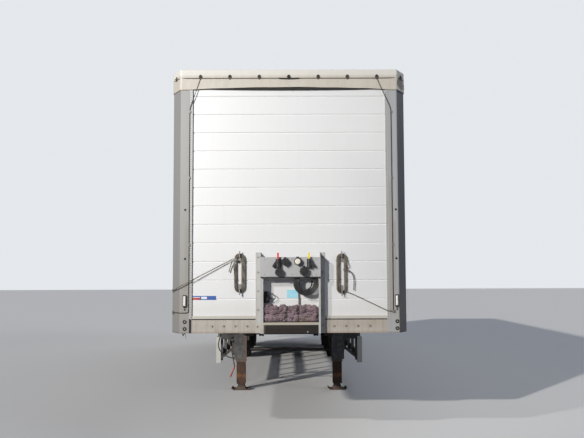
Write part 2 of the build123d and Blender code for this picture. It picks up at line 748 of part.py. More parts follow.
def connection_bracket():
    """Folded cheeks, a panel for the couplings, a coil peg and a shelf at the foot, on the front wall."""
    t = BRACKET_SHEET
    out = FRONT - BRACKET_DEEP
    plank = FRONT + PLANK_FACE
    cheek = [
        (FRONT, BRACKET_BOTTOM),
        (out, BRACKET_BOTTOM),
        (out, PANEL_BOTTOM),
        (PANEL_Y, PANEL_BOTTOM),
        (PANEL_Y, PANEL_TOP),
        (plank, BRACKET_TOP),
        (plank, WALL_BOTTOM),
        (FRONT + RAIL_FACE, WALL_BOTTOM),
        (FRONT + RAIL_FACE, FLOOR_TOP),
        (FRONT, FLOOR_TOP),
    ]
    x0 = BRACKET_LEFT
    x1 = BRACKET_RIGHT
    bracket = along_x(cheek, x0, x0 + t) + along_x(cheek, x1 - t, x1)
    bracket += block(x0, x0 + FLANGE_LEFT, out, out + t, BRACKET_BOTTOM, PANEL_BOTTOM)
    bracket += block(x1 - FLANGE_RIGHT, x1, out, out + t, BRACKET_BOTTOM, PANEL_BOTTOM)
    for foot in ((x0 - BRACKET_FOOT, x0), (x1, x1 + BRACKET_FOOT)):
        bracket += block(*foot, plank - t, plank, WALL_BOTTOM, BRACKET_TOP)
        bracket += block(*foot, FRONT - t, FRONT, BRACKET_BOTTOM, WALL_BOTTOM)
    bracket += block(x0, x1, PANEL_Y, PANEL_Y + t, PANEL_BOTTOM, PANEL_TOP)
    bracket += block(x0, x1, PANEL_Y, out + t, PANEL_BOTTOM, PANEL_BOTTOM + t)
    shelf = [
        (FRONT, SHELF_TOP),
        (out, SHELF_TOP),
        (out, BRACKET_BOTTOM),
        (out + t, BRACKET_BOTTOM),
        (out + t, SHELF_TOP - t),
        (FRONT, SHELF_TOP - t),
    ]
    bracket += along_x(shelf, x0, x1)
    peg_top = COIL_Z + COIL_R - COIL_BUNDLE - SEAT - 0.8
    peg_end = out + t + COIL_DEEP + 10
    bracket += block(COIL_X - 6, COIL_X + 6, PANEL_Y + t, peg_end, peg_top - 10, peg_top)
    bracket += block(COIL_X - 6, COIL_X + 6, peg_end - 6, peg_end, peg_top, peg_top + 24)
    save("connection_bracket", [bracket])


def couplings():
    """Two air coupling heads, the electric sockets and a valve on the bracket."""
    face = PANEL_Y
    heads = []
    # columns: place across, which way its guard leans
    for x, lean in ((-120, -1), (207, 1)):
        head = rod((x, face, 1885), (x, face - 30, 1885), 20)
        head += rod((x, face - 26, 1843), (x, face - 26, 1938), 24)
        head += block(x - 9, x + 9, face - 35, face - 17, 1938, 2002)
        guard = [(x, 1900), (x + lean * 20, 1925), (x + lean * 62, 1862), (x + lean * 50, 1846)]
        head += along_y(guard, face - 40, face - 12)
        heads.append(head)
    save("coupling_heads", heads)
    # columns: place across, level, radius, notches round its rim
    table = [(-46, 1906, 37, 0), (86, 1911, 37, 0), (-110, 1797, 42, 11), (152, 1806, 46, 11)]
    sockets = []
    for x, z, radius, notches in table:
        socket = rod((x, face, z), (x, face - 24, z), radius * 0.82)
        socket += rod((x, face - 24, z), (x, face - SOCKET_DEEP, z), radius)
        for k in range(notches):
            angle = 2 * math.pi * k / notches
            u = x + (radius + 2) * math.cos(angle)
            w = z + (radius + 2) * math.sin(angle)
            socket -= rod((u, face - 23, w), (u, face - SOCKET_DEEP - 1, w), radius * 0.14)
        sockets.append(socket)
    middle = BRACKET_LEFT + 65
    low = SHELF_TOP + BUNDLE_HIGH + 6
    valve = block(middle - 34, middle + 34, FRONT - 30, FRONT + PLANK_FACE, low, low + 84)
    valve += rod((middle, FRONT - 14, low + 84), (middle, FRONT - 14, low + 124), 26)
    valve += rod((middle, FRONT - 30, low + 44), (middle, FRONT - 52, low + 44), 24)
    valve += rod((middle + 34, FRONT - 14, low + 56), (middle + 46, FRONT - 14, low + 56), 12)
    near = FRONT - 22
    lead = [
        (middle + 26, near, low + 96),
        (middle + 58, near - 4, low + 100),
        (middle + 92, near - 6, low + 78),
        (middle + 94, near - 6, low + 44),
        (middle + 64, near - 2, low + 22),
        (middle + 30, near, low + 18),
    ]
    valve += cord_tube("valve lead", lead, LEAD_R)
    sockets.append(valve)
    save("sockets", sockets)


def rope_table():
    """Each hank: side, place across, top and foot."""
    return [("left", -530.5, 2005, 1581), ("right", 559, 2001, 1566)]


def rope_fittings():
    """Hook pairs for the rope hanks, and the eyes and clips that hold ropes and cables on the pillars."""
    wall = FRONT + PLANK_FACE
    fittings = []
    for side, x, top, foot in rope_table():
        # columns: bundle's inner edge, which way the hook's tip points
        for edge, way in ((top - HANK_BUNDLE - 1, 1), (foot + HANK_BUNDLE + 1, -1)):
            near = edge - way * 12
            far = edge - way * 60
            tip = edge + way * (HANK_BUNDLE + 22)
            hook = block(x - 14, x + 14, wall - 6, wall, min(near, far), max(near, far))
            hook += block(x - 6, x + 6, wall - 44, wall, min(edge, near), max(edge, near))
            hook += block(x - 6, x + 6, wall - 44, wall - 36, min(near, tip), max(near, tip))
            fittings.append(hook)
    plan = [bevel_point(150, 0), bevel_point(150, 16), bevel_point(174, 16), bevel_point(174, 0)]
    left_plan = [(-x, y) for x, y in plan]
    for z in (EYE_Z, 1606):
        fittings.append(along_z(left_plan, z - 16, z + 16))
    bore = CABLE_R + SEAT
    for x in cable_places():
        for z in (2093, 2814, 3533):
            clip = block(x - 9, x + 9, FRONT - 13, FRONT, z - 10, z + 10)
            clip -= rod((x, FRONT - bore, z - 11), (x, FRONT - bore, z + 11), bore)
            clip -= block(x - bore, x + bore, FRONT - bore, FRONT + 1, z - 11, z + 11)
            fittings.append(clip)
    x = cable_places()[1]
    fittings.append(block(x - 12, x + 12, FRONT - 18, FRONT, CLIP_TOP - 26, CLIP_TOP))
    save("rope_hooks", fittings)


def cable_places():
    """Where the roof cables run down the left and right pillars."""
    return (-1072, 1104)


def pillar_cables():
    """The taut roof cables, clipped down the pillars, and the hose that hangs from the frame to the left leg."""
    y = FRONT - CABLE_R - SEAT
    left, right = cable_places()
    off = CABLE_R + SEAT
    before_cap = y - CAP_THICK - SEAT
    hem = HEIGHT - CAP_HIGH - 3
    plan = [bevel_point(0, off), bevel_point(150 - SEAT, off)]
    front_x = corner_outline(off)[0][0]
    points = [
        (-EYELET_X, before_cap, EYELET_Z),
        (left + 70, before_cap, hem),
        (left, y, CABLE_KNEE),
        (left, y, EYE_Z),
        (-front_x, y, EYE_Z),
        (-plan[1][0], plan[1][1], EYE_Z),
    ]
    left_cable = tube(points, CABLE_R, [200, 60, 40, CABLE_R + SEAT])
    points = [
        (EYELET_X, before_cap, EYELET_Z),
        (right - 90, before_cap, hem),
        (right, y, CABLE_KNEE),
        (right, y, CLIP_TOP + SEAT),
    ]
    right_cable = tube(points, CABLE_R, [200, 60])
    plate_edge = -(LEG_X + LEG_WIDE / 2 + LEG_PLATE_OUT) - SEAT
    # columns: across, along from the leg, up
    hose = [
        (-1000, -379, 1194.2),
        (-1003, -352, 1090),
        (-1018, -275, 990),
        (-1045, -175, 895),
        (-1080, -92, 800),
        (-1108, -46, 708),
        (-1098, -26, 622),
        (-1050, -32, 560),
        (-984, -56, 522),
        (-916, -84, 490),
        (plate_edge, -84, 490),
    ]
    hose = [(x, LEG_Y + y, z) for x, y, z in hose]
    save("pillar_cables", [left_cable, right_cable, cord_tube("leg hose", hose, HOSE_R)])


def ropes():
    """Each rope's straight stretch and free tail, and the hank of what is left over."""
    y = FRONT - 5
    eye = bevel_point(148.5, 9)
    left_x = rope_table()[0][1]
    right_x = rope_table()[1][1]
    left_run = [(left_x - 61.8, y, 1946), (-1186, FRONT - 28, 1640), (-eye[0], eye[1], 1606)]
    edge = left_x - 63.6
    left_tail = [
        (edge, y, 1922),
        (edge - 14, y, 1905),
        (edge - 30, y + 1, 1872),
        (edge - 43, y, 1838),
        (edge - 51, y, 1803),
    ]
    clip = cable_places()[1] - 12 - SEAT
    right_run = [(right_x + 62, y, 1590), (clip - 42, FRONT - 12, 1385), (clip, FRONT - 10, 1384)]
    edge = right_x + 60.5
    right_tail = [
        (edge, y, 1812),
        (edge + 27, y, 1807),
        (edge + 54, y + 1, 1775),
        (edge + 66, y, 1735),
        (edge + 69, y, 1690),
        (edge + 67, y + 1, 1646),
        (edge + 63, y, 1606),
    ]
    save("rope_run_left", [cord_tube("left rope", left_run, ROPE_R), cord_tube("left tail", left_tail, ROPE_R)])
    save("rope_run_right", [cord_tube("right rope", right_run, ROPE_R), cord_tube("right tail", right_tail, ROPE_R)])
    back = FRONT + PLANK_FACE - SEAT
    for side, x, top, foot in rope_table():
        place = Plane(origin=(x, back, (top + foot) / 2), x_dir=(0, 0, 1), z_dir=(0, -1, 0))
        ring = SlotOverall(top - foot, HANK_WIDE)
        ring -= SlotOverall(top - foot - 2 * HANK_BUNDLE, HANK_WIDE - 2 * HANK_BUNDLE)
        save("rope_hank_" + side, [extrude(place * ring, HANK_DEEP, dir=(0, -1, 0))])


def cable_coil():
    """The spare cable's coil, hung behind the panel."""
    near = FRONT - BRACKET_DEEP + BRACKET_SHEET + SEAT
    far = near + COIL_DEEP
    ring = rod((COIL_X, near, COIL_Z), (COIL_X, far, COIL_Z), COIL_R)
    ring -= rod((COIL_X, near - 1, COIL_Z), (COIL_X, far + 1, COIL_Z), COIL_R - COIL_BUNDLE)
    save("cable_coil", [ring])


def tarp_bundle():
    """A spare tarpaulin rolled up and tied on the bracket's shelf, behind the cheeks' flanges."""
    x0 = BRACKET_LEFT + BRACKET_SHEET + 4
    x1 = BRACKET_RIGHT - BRACKET_SHEET - 10
    near = FRONT - BRACKET_DEEP + BRACKET_SHEET + SEAT
    low = SHELF_TOP + SEAT
    roll = block(x0, x1, near, FRONT - BUNDLE_GAP, low, low + BUNDLE_HIGH)
    roll = fillet(roll.edges().filter_by(Axis.X), 40)
    roll = fillet(roll.edges().filter_by(GeomType.LINE, reverse=True).group_by(Axis.X)[0], 20)
    save("tarp_bundle", [roll])


def landing_gear():
    """Outer legs bolted to the beams and braced, inner legs with feet, cross shaft, gearbox and crank."""
    half = LEG_WIDE / 2
    deep = LEG_DEEP / 2
    bore = INNER_WIDE / 2 + SEAT
    web = BEAM_X + WEB_THICK / 2
    outer = block(LEG_X - half, LEG_X + half, LEG_Y - deep, LEG_Y + deep, LEG_BOTTOM, LEG_TOP)
    outer -= block(LEG_X - bore, LEG_X + bore, LEG_Y - bore, LEG_Y + bore, LEG_BOTTOM - 1, 1000)
    plate_out = LEG_X + half + LEG_PLATE_OUT
    outer += block(LEG_X - half - 10, plate_out, LEG_Y - deep - 8, LEG_Y - deep, LEG_BOTTOM + 40, LEG_TOP)
    outer += block(web, LEG_X - half, LEG_Y - 60, LEG_Y + 60, DEEP_BOTTOM + 20, LEG_TOP - 10)
    brace_x = LEG_X - half - 8
    brace = [
        (LEG_Y + deep, LEG_BOTTOM + 60),
        (LEG_Y + deep, LEG_BOTTOM + 120),
        (LEG_Y + 640, DEEP_BOTTOM),
        (LEG_Y + 720, DEEP_BOTTOM),
        (LEG_Y + 720, DEEP_BOTTOM - 30),
    ]
    outer += along_x(brace, brace_x - 12, brace_x + 10)
    outer += block(BEAM_X + 10, brace_x + 10, LEG_Y + 600, LEG_Y + 720, DEEP_BOTTOM - 10, DEEP_BOTTOM)
    save("landing_legs", both_sides([outer]))
    inner_half = INNER_WIDE / 2
    inner_top = 996
    inner = block(
        LEG_X - inner_half, LEG_X + inner_half,
        LEG_Y - inner_half, LEG_Y + inner_half,
        FOOT_GAP, inner_top,
    )
    foot_half = FOOT_WIDE / 2
    foot = [
        (LEG_X - foot_half, 26),
        (LEG_X - foot_half + 34, 0),
        (LEG_X + foot_half - 34, 0),
        (LEG_X + foot_half, 26),
        (LEG_X + foot_half - 6, 34),
        (LEG_X + foot_half - 40, 12),
        (LEG_X - foot_half + 40, 12),
        (LEG_X - foot_half + 6, 34),
    ]
    inner += along_y(foot, LEG_Y - FOOT_DEEP / 2, LEG_Y + FOOT_DEEP / 2)
    for y in (LEG_Y - inner_half - 12, LEG_Y + inner_half + 4):
        cheek = [(LEG_X - 75, 12), (LEG_X + 75, 12), (LEG_X + 34, 112), (LEG_X - 34, 112)]
        inner += along_y(cheek, y, y + 8)
    inner += rod((LEG_X, LEG_Y - inner_half - 22, 78), (LEG_X, LEG_Y + inner_half + 22, 78), 16)
    inner += block(LEG_X - 30, LEG_X + 30, LEG_Y - inner_half, LEG_Y + inner_half, 12, FOOT_GAP)
    save("landing_feet", both_sides([inner]))
    reach = LEG_X - half
    shaft = rod((-reach, LEG_Y, SHAFT_Z), (reach, LEG_Y, SHAFT_Z), SHAFT_R)
    side = -LEG_X - half
    box = block(side - 58, side, LEG_Y - 52, LEG_Y + 52, SHAFT_Z - 90, SHAFT_Z + 110)
    box = fillet(box.edges().filter_by(Axis.X), 24)
    arm_x = side - 72
    box += rod((side - 58, LEG_Y, SHAFT_Z - 20), (arm_x - 8, LEG_Y, SHAFT_Z - 20), 14)
    elbow = (arm_x + 56, LEG_Y - 104, 357)
    grip = (arm_x - 8, LEG_Y - 110, 202)
    box += rod((arm_x, LEG_Y, SHAFT_Z - 20), elbow, 10)
    box += Pos(*elbow) * Sphere(10)
    box += rod(elbow, grip, 10)
    save("landing_crank", [shaft, box])


def wheel_name(i, side):
    return str(i + 1) + ("_right" if side > 0 else "_left")


def wheels():
    """Six single wheels: a tyre on a dished rim with its hub."""
    shoulder = TYRE_WIDE / 2
    bead = RIM_R + SEAT
    tyre = [
        (bead, -BEAD_HALF),
        (bead + LIP_HIGH + 2, -BEAD_HALF),
        (bead + 60, -shoulder + 8),
        (bead + 140, -shoulder),
        (TYRE_R - 36, -shoulder + 12),
        (TYRE_R - 7, -150),
        (TYRE_R, -90),
        (TYRE_R, 90),
        (TYRE_R - 7, 150),
        (TYRE_R - 36, shoulder - 12),
        (bead + 140, shoulder),
        (bead + 60, shoulder - 8),
        (bead + LIP_HIGH + 2, BEAD_HALF),
        (bead, BEAD_HALF),
    ]
    half = RIM_WIDE / 2
    lip = BEAD_HALF + SEAT
    hub_r = STUB_R + HUB_PLAY
    rim = [
        (RIM_R - 12, -half),
        (RIM_R + LIP_HIGH, -half),
        (RIM_R + LIP_HIGH, -lip),
        (RIM_R, -lip),
        (RIM_R, lip),
        (RIM_R + LIP_HIGH, lip),
        (RIM_R + LIP_HIGH, half),
        (RIM_R - 12, half),
        (RIM_R - 34, 60),
        (205, 92),
        (150, 92),
        (120, 120),
        (90, 150),
        (66, 172),
        (0, 172),
        (0, 160),
        (hub_r, 160),
        (hub_r, -10),
        (110, -10),
        (130, 72),
        (200, 72),
        (RIM_R - 44, 34),
        (RIM_R - 12, -120),
    ]
    for i, y in enumerate(AXLE_Y):
        for side in (-1, 1):
            place = Pos(side * TRACK / 2, y, AXLE_Z)
            flip = Rot(0, 0, 0) if side > 0 else Rot(0, 0, 180)
            save("tyre_" + wheel_name(i, side), [place * flip * turned(tyre, 0)])
            disc = turned(rim, 0)
            for k in range(8):
                angle = math.radians(k * 45)
                z = 177 * math.cos(angle)
                w = 177 * math.sin(angle)
                disc -= rod((60, w, z), (120, w, z), 20)
            save("rim_" + wheel_name(i, side), [place * flip * disc])


def axle_beams():
    """Round axle tubes with a thinner stub in each wheel, brakes and their air chambers."""
    hub = TRACK / 2 - 20
    axles = []
    for y in AXLE_Y:
        axle = rod((-hub, y, AXLE_Z), (hub, y, AXLE_Z), AXLE_R)
        axle += rod((-hub - 150, y, AXLE_Z), (hub + 150, y, AXLE_Z), STUB_R)
        for side in (-1, 1):
            x0 = side * (hub - 150)
            axle += rod((x0, y, AXLE_Z), (x0 + side * 40, y, AXLE_Z), BRAKE_R)
            near = side * (ARM_X + ARM_WIDE / 2 + 50)
            far = side * (TRACK / 2 - TYRE_WIDE / 2 - 12)
            back = (y - 165, AXLE_Z + 40)
            axle += rod((near, *back), (far, *back), CHAMBER_R)
            axle += rod((near + side * 55, *back), (near + side * 67, *back), CHAMBER_R + 7)
            foot = (min(near, near + side * 40), max(near, near + side * 40))
            axle += block(*foot, y - 165, y, AXLE_Z - 20, AXLE_Z + 60)
        axles.append(axle)
    save("axles", axles)


def suspension():
    """Hangers, trailing arms clamped over the axles, air springs and dampers."""
    x0 = ARM_X - ARM_WIDE / 2
    x1 = ARM_X + ARM_WIDE / 2
    seat = AXLE_Z + AXLE_R
    arms = []
    hangers = []
    springs = []
    dampers = []
    for y in AXLE_Y:
        pivot = y - PIVOT_AHEAD
        side = [
            (pivot, PIVOT_Z - 42),
            (y - 110, seat),
            (y + 110, seat),
            (y + 190, seat - 20),
            (y + 250, seat - 60),
            (y + SPRING_BACK + 120, seat - 60),
            (y + SPRING_BACK + 120, seat - 20),
            (y + 260, seat - 20),
            (y + 190, seat + 30),
            (y + 110, seat + 55),
            (y - 110, seat + 55),
            (pivot, PIVOT_Z + 42),
        ]
        arm = along_x(side, x0, x1)
        arm += rod((x0, pivot, PIVOT_Z), (x1, pivot, PIVOT_Z), 42)
        arm -= rod((x0 - 1, pivot, PIVOT_Z), (x1 + 1, pivot, PIVOT_Z), PIVOT_R + SEAT)
        arm += block(x0 - 8, x1 + 8, y - 95, y + 95, seat + 55, seat + 70)
        low = AXLE_Z - AXLE_R - 14
        for bolt_y in (y - AXLE_R - BOLT_R - 1, y + AXLE_R + BOLT_R + 1):
            for bolt_x in (x0 + BOLT_R, x1 - BOLT_R):
                arm += rod((bolt_x, bolt_y, low - 16), (bolt_x, bolt_y, seat + 96), BOLT_R)
        arm += block(x0, x1, y - 95, y + 95, low - 6, low + 14 - SEAT)
        arms.append(arm)
        foot = PIVOT_Z - 60
        cheek = [
            (pivot - 60, foot),
            (pivot + 60, foot),
            (pivot + 120, DEEP_BOTTOM),
            (pivot - 120, DEEP_BOTTOM),
        ]
        hanger = along_x(cheek, x0 - 14, x0 - 4, cheek[:2], 40)
        hanger += along_x(cheek, x1 + 4, x1 + 14, cheek[:2], 40)
        hanger += block(x0 - 14, x1 + 14, pivot - 119, pivot + 119, DEEP_BOTTOM - 12, DEEP_BOTTOM)
        hanger += block(x0 - 14, x1 + 14, pivot - 80, pivot - 70, PIVOT_Z - 10, DEEP_BOTTOM)
        hanger += rod((x0 - 24, pivot, PIVOT_Z), (x1 + 24, pivot, PIVOT_Z), PIVOT_R)
        for end in (x0 - 20, x1 + 14):
            hanger += rod((end, pivot, PIVOT_Z), (end + 6, pivot, PIVOT_Z), PIVOT_R + 14)
        hangers.append(hanger)
        low = seat - 20 + SEAT
        high = DEEP_BOTTOM - SEAT
        third = (high - low) / 3
        bag = [
            (0, low),
            (SPRING_R - 55, low),
            (SPRING_R - 10, low + third),
            (SPRING_R, low + 1.6 * third),
            (SPRING_R - 10, low + 2.4 * third),
            (SPRING_R - 40, high),
            (0, high),
        ]
        springs.append(Pos(ARM_X, y + SPRING_BACK, 0) * revolve(Plane.XZ * Polygon(*bag, align=None), Axis.Z))
        damper_x = ARM_X - FLANGE_WIDE / 2 - DAMPER_R - SEAT
        foot = (damper_x, y + 130, seat + 22)
        head = (damper_x, y + 270, DEEP_BOTTOM + 60)
        damper = rod(foot, head, DAMPER_R)
        damper += rod(foot, (x0, foot[1], foot[2]), 14)
        damper += rod(head, (BEAM_X - WEB_THICK / 2, head[1], head[2]), 14)
        dampers.append(damper)
    save("trailing_arms", both_sides(arms))
    save("spring_hangers", both_sides(hangers))
    save("air_springs", both_sides(springs))
    save("shock_absorbers", both_sides(dampers))


def tanks():
    """Air tanks along the frame, each held up in two straps."""
    y = FRONT + TANK_BACK
    middle = BEAM_TOP - CROSS_DEPTH - SEAT - 6 - TANK_R
    tank = rod((TANK_X, y - TANK_LONG / 2, middle), (TANK_X, y + TANK_LONG / 2, middle), TANK_R)
    tank = fillet(tank.edges().filter_by(GeomType.CIRCLE), 45)
    for strap_y in (y - 250, y + 210):
        tank += rod((TANK_X, strap_y, middle), (TANK_X, strap_y + 40, middle), TANK_R + 6)
    save("air_tanks", both_sides([tank]))


def mudguards():
    """A plastic guard over each wheel, and a flap behind the last."""
    inside = TYRE_R + GUARD_GAP
    outside = inside + MUDGUARD_THICK
    guards = []
    x0 = TRACK / 2 - TYRE_WIDE / 2 - 12
    x1 = TRACK / 2 + TYRE_WIDE / 2 + 12
    for y in AXLE_Y:
        ring = rod((x0, y, AXLE_Z), (x1, y, AXLE_Z), outside)
        ring -= rod((x0 - 1, y, AXLE_Z), (x1 + 1, y, AXLE_Z), inside)
        ring -= block(x0 - 1, x1 + 1, y - 700, y + 700, -100, AXLE_Z + 300)
        for angle in (-30, 30):
            out = outside + 8
            stay_y = y + out * math.sin(math.radians(angle))
            stay_z = AXLE_Z + out * math.cos(math.radians(angle))
            ring += rod((BEAM_X + WEB_THICK / 2, stay_y, stay_z), (x1, stay_y, stay_z), 12)
        if y == AXLE_Y[-1]:
            reach = y + math.sqrt(outside**2 - 300**2)
            back = y + TYRE_R + GUARD_GAP
            knee = AXLE_Z + 200
            flap = [
                (reach - 10, AXLE_Z + 306),
                (back, knee),
                (back, FLAP_BOTTOM),
                (back + MUDGUARD_THICK, FLAP_BOTTOM),
                (back + MUDGUARD_THICK, knee),
                (reach - 2, AXLE_Z + 306),
            ]
            ring += along_x(flap, x0, x1)
        guards.append(ring)
    save("mudguards", both_sides(guards))


def side_guards():
    """Two rails each side between the legs and the wheels, on uprights, the first braced to the leg."""
    y0 = LEG_Y + SIDE_GUARD_BACK
    y1 = AXLE_Y[0] - TYRE_R - SIDE_GUARD_GAP
    out = SIDE_GUARD_X
    rail_in = out - SIDE_RAIL_THICK
    post_out = rail_in - SEAT
    post_in = post_out - SIDE_POST_DEEP
    solids = []
    for z in (SIDE_RAIL_LOW, SIDE_RAIL_UP):
        rail = block(rail_in, out, y0, y1, z, z + SIDE_RAIL_HIGH)
        solids.append(fillet(rail.edges().filter_by(Axis.Y), 8))
    solids.append(block(out - SIDE_END_WIDE, out, y0 - SEAT - 6, y0 - SEAT, SIDE_POST_BOTTOM, SIDE_END_TOP))
    low = BEAM_TOP - CROSS_DEPTH
    web_out = BEAM_X + WEB_THICK / 2
    slope = (BEAM_TOP - OUTRIGGER_TIP - low) / (RAIL_OUT - RAIL_LEDGE - web_out)
    places = [y for y in cross_places() if y0 <= y <= y1 - SIDE_POST_LONG]
    for y in places:
        top_in = low + (post_in - web_out) * slope
        top_out = low + (post_out - web_out) * slope
        upright = [(post_in, SIDE_POST_BOTTOM), (post_out, SIDE_POST_BOTTOM), (post_out, top_out), (post_in, top_in)]
        solids.append(along_y(upright, y, y + SIDE_POST_LONG))
    leg_out = LEG_X + LEG_WIDE / 2
    leg_back = LEG_Y + LEG_DEEP / 2
    first = block(post_in, post_out, y0, y0 + SIDE_POST_LONG, SIDE_POST_BOTTOM, SIDE_FRAME_TOP)
    first += block(leg_out, post_in, y0 + 2, leg_back, SIDE_ARM_LOW, SIDE_ARM_HIGH)
    brace = [
        (leg_out, SIDE_BRACE_LEG - SIDE_BRACE_HIGH),
        (post_in, SIDE_BRACE_END - SIDE_BRACE_HIGH),
        (post_in, SIDE_BRACE_END),
        (leg_out, SIDE_BRACE_LEG),
    ]
    first += along_y(brace, y0 + 2, leg_back)
    solids.append(first)
    save("side_guards", both_sides(solids))


def markers():
    """White lamps on the front pillars and amber ones along the side rails."""
    half = MARKER_LAMP_WIDE / 2
    front_lamps = []
    for x in (LAMP_LEFT, LAMP_RIGHT):
        lamp = block(x - half, x + half, FRONT - 14, FRONT, MARKER_LAMP_LOW, MARKER_LAMP_TOP)
        front_lamps.append(fillet(lamp.edges().filter_by(Axis.Y), 8))
    save("marker_lamps", front_lamps)
    straps = strap_places()
    lamps = []
    for i in range(MARKERS):
        k = round((i + 0.5) * (STRAPS - 1) / MARKERS)
        y = (straps[k] + straps[k + 1]) / 2
        z = RAIL_BOTTOM + 6
        lamp = block(RAIL_OUT, RAIL_OUT + MARKER_THICK, y - MARKER_LONG / 2, y + MARKER_LONG / 2, z, z + MARKER_HIGH)
        lamps.append(fillet(lamp.edges().group_by(Axis.X)[-1], 6))
    save("side_markers", both_sides(lamps))


chassis_beams()
cross_members()
coupler()
side_rails()
floor_deck()
front_sill()
front_wall()
front_pillars()
front_cap()
roof()
curtains()
rear_portal()
doors()
rear_gear()
connection_bracket()
couplings()
rope_fittings()
pillar_cables()
ropes()
cable_coil()
tarp_bundle()
landing_gear()
wheels()
axle_beams()
suspension()
tanks()
mudguards()
side_guards()
markers()
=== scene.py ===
import math

import bmesh
import bpy
from mathutils import Matrix, Vector, noise


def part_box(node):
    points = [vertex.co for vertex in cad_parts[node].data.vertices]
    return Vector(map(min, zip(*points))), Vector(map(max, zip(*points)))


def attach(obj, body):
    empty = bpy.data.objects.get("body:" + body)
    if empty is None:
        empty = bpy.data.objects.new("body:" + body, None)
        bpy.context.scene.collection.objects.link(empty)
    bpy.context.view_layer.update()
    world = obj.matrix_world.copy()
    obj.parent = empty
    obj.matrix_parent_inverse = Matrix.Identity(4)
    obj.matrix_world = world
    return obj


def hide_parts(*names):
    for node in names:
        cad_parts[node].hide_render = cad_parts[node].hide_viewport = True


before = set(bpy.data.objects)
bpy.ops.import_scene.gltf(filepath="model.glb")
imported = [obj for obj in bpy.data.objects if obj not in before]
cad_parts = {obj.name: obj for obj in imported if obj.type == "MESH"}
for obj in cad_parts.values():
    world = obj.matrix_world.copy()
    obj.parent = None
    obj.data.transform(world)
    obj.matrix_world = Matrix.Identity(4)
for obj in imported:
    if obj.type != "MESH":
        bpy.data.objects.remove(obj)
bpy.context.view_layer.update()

scene = bpy.context.scene


# Camera: where the photographer stood, 8.3 m before the front wall, looking slightly up.
# Its place, angles and lens were fitted to the photograph's planks, pillars, bracket and feet.
def new_object(name, data):
    """Puts data, such as a mesh or a light, into the scene as an object."""
    obj = bpy.data.objects.new(name, data)
    scene.collection.objects.link(obj)
    return obj


front_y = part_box("front_pillars")[0].y
camera = new_object("camera", bpy.data.cameras.new("camera"))
scene.camera = camera
camera.data.sensor_width = 36
camera.data.lens = 47.92
camera.data.clip_end = 200
look_up = 0.0732
look_right = 0.0057
lean = -0.0035
aim = Matrix.Rotation(-look_right, 4, "Z") @ Matrix.Rotation(math.pi / 2 + look_up, 4, "X")
camera.matrix_world = Matrix.Translation((-0.0177, front_y - 8.3131, 1.7586)) @ aim @ Matrix.Rotation(lean, 4, "Z")


# Stage: a plain pale floor, and a pale sky that only the camera sees as bright.
# The key light is low at the front left, as in the photograph, and the sky fills the shadows.
def feed(sockets, inputs):
    """Gives named sockets their values, or links where another node's output is given."""
    for name, value in inputs.items():
        socket = sockets[name]
        if isinstance(value, bpy.types.NodeSocket):
            socket.id_data.links.new(value, socket)
        else:
            socket.default_value = value


def add_node(tree, kind, output, inputs, **settings):
    """Adds a shader node. Returns the output that is named, or all of them."""
    node = tree.nodes.new(kind)
    for name, value in settings.items():
        setattr(node, name, value)
    feed(node.inputs, inputs)
    return node.outputs[output] if output else node.outputs


def new_material(name):
    material = bpy.data.materials.new(name)
    material.use_nodes = True
    return material


def shader_of(material):
    """The inputs of a material's shader."""
    return material.node_tree.nodes["Principled BSDF"].inputs


floor_mesh = bpy.data.meshes.new("floor")
floor_corners = [(90 * x, 90 * y, -0.002) for x, y in ((-1, -1), (1, -1), (1, 1), (-1, 1))]
floor_mesh.from_pydata(floor_corners, [], [(0, 1, 2, 3)])
floor = new_object("floor", floor_mesh)
floor_material = new_material("floor")
tree = floor_material.node_tree
seen = add_node(tree, "ShaderNodeLightPath", "Is Camera Ray", {})
floor_tones = {"Factor": seen, "A": (0.20, 0.19, 0.18, 1), "B": (0.86, 0.85, 0.83, 1)}
floor_tone = add_node(tree, "ShaderNodeMix", "Result", floor_tones, data_type="RGBA")
feed(shader_of(floor_material), {"Base Color": floor_tone, "Roughness": 0.95, "Specular IOR Level": 0.1})
floor_mesh.materials.append(floor_material)

scene.view_settings.view_transform = "Standard"
scene.world = bpy.data.worlds.new("sky")
scene.world.use_nodes = True
sky = scene.world.node_tree
sky_fill = sky.nodes["Background"]
feed(sky_fill.inputs, {"Color": (0.68, 0.78, 1.0, 1), "Strength": 0.20})
sky_seen = add_node(sky, "ShaderNodeBackground", "Background", {"Color": (0.78, 0.81, 0.84, 1), "Strength": 1.0})
seen = add_node(sky, "ShaderNodeLightPath", "Is Camera Ray", {})
sky_choice = {"Fac": seen, 1: sky_fill.outputs["Background"], 2: sky_seen}
feed(sky.nodes["World Output"].inputs, {"Surface": add_node(sky, "ShaderNodeMixShader", "Shader", sky_choice)})


def add_light(name, kind, energy, color, direction, **settings):
    light = bpy.data.lights.new(name, kind)
    light.energy = energy
    light.color = color
    for setting, value in settings.items():
        setattr(light, setting, value)
    obj = new_object(name, light)
    obj.rotation_euler = Vector(direction).to_track_quat("-Z", "Y").to_euler()
    return obj


add_light("key_light", "SUN", 2.5, (1.0, 0.965, 0.91), (0.555, 0.772, -0.309), angle=math.radians(1.2))
side_light = add_light("side_light", "SPOT", 1040, (1.0, 0.99, 0.97), (3.9, 4.5, -1.85),
                       spot_size=math.radians(58), spot_blend=1.0, shadow_soft_size=0.12)
side_light.location = (-4.4, front_y - 4.5, 4.75)
add_light("back_light", "SUN", 0.5, (0.95, 0.97, 1.0), (-0.45, -0.70, -0.55), angle=math.radians(40))
add_light("right_fill", "SUN", 0.7, (0.86, 0.92, 1.0), (-0.90, 0.35, -0.22), angle=math.radians(35))


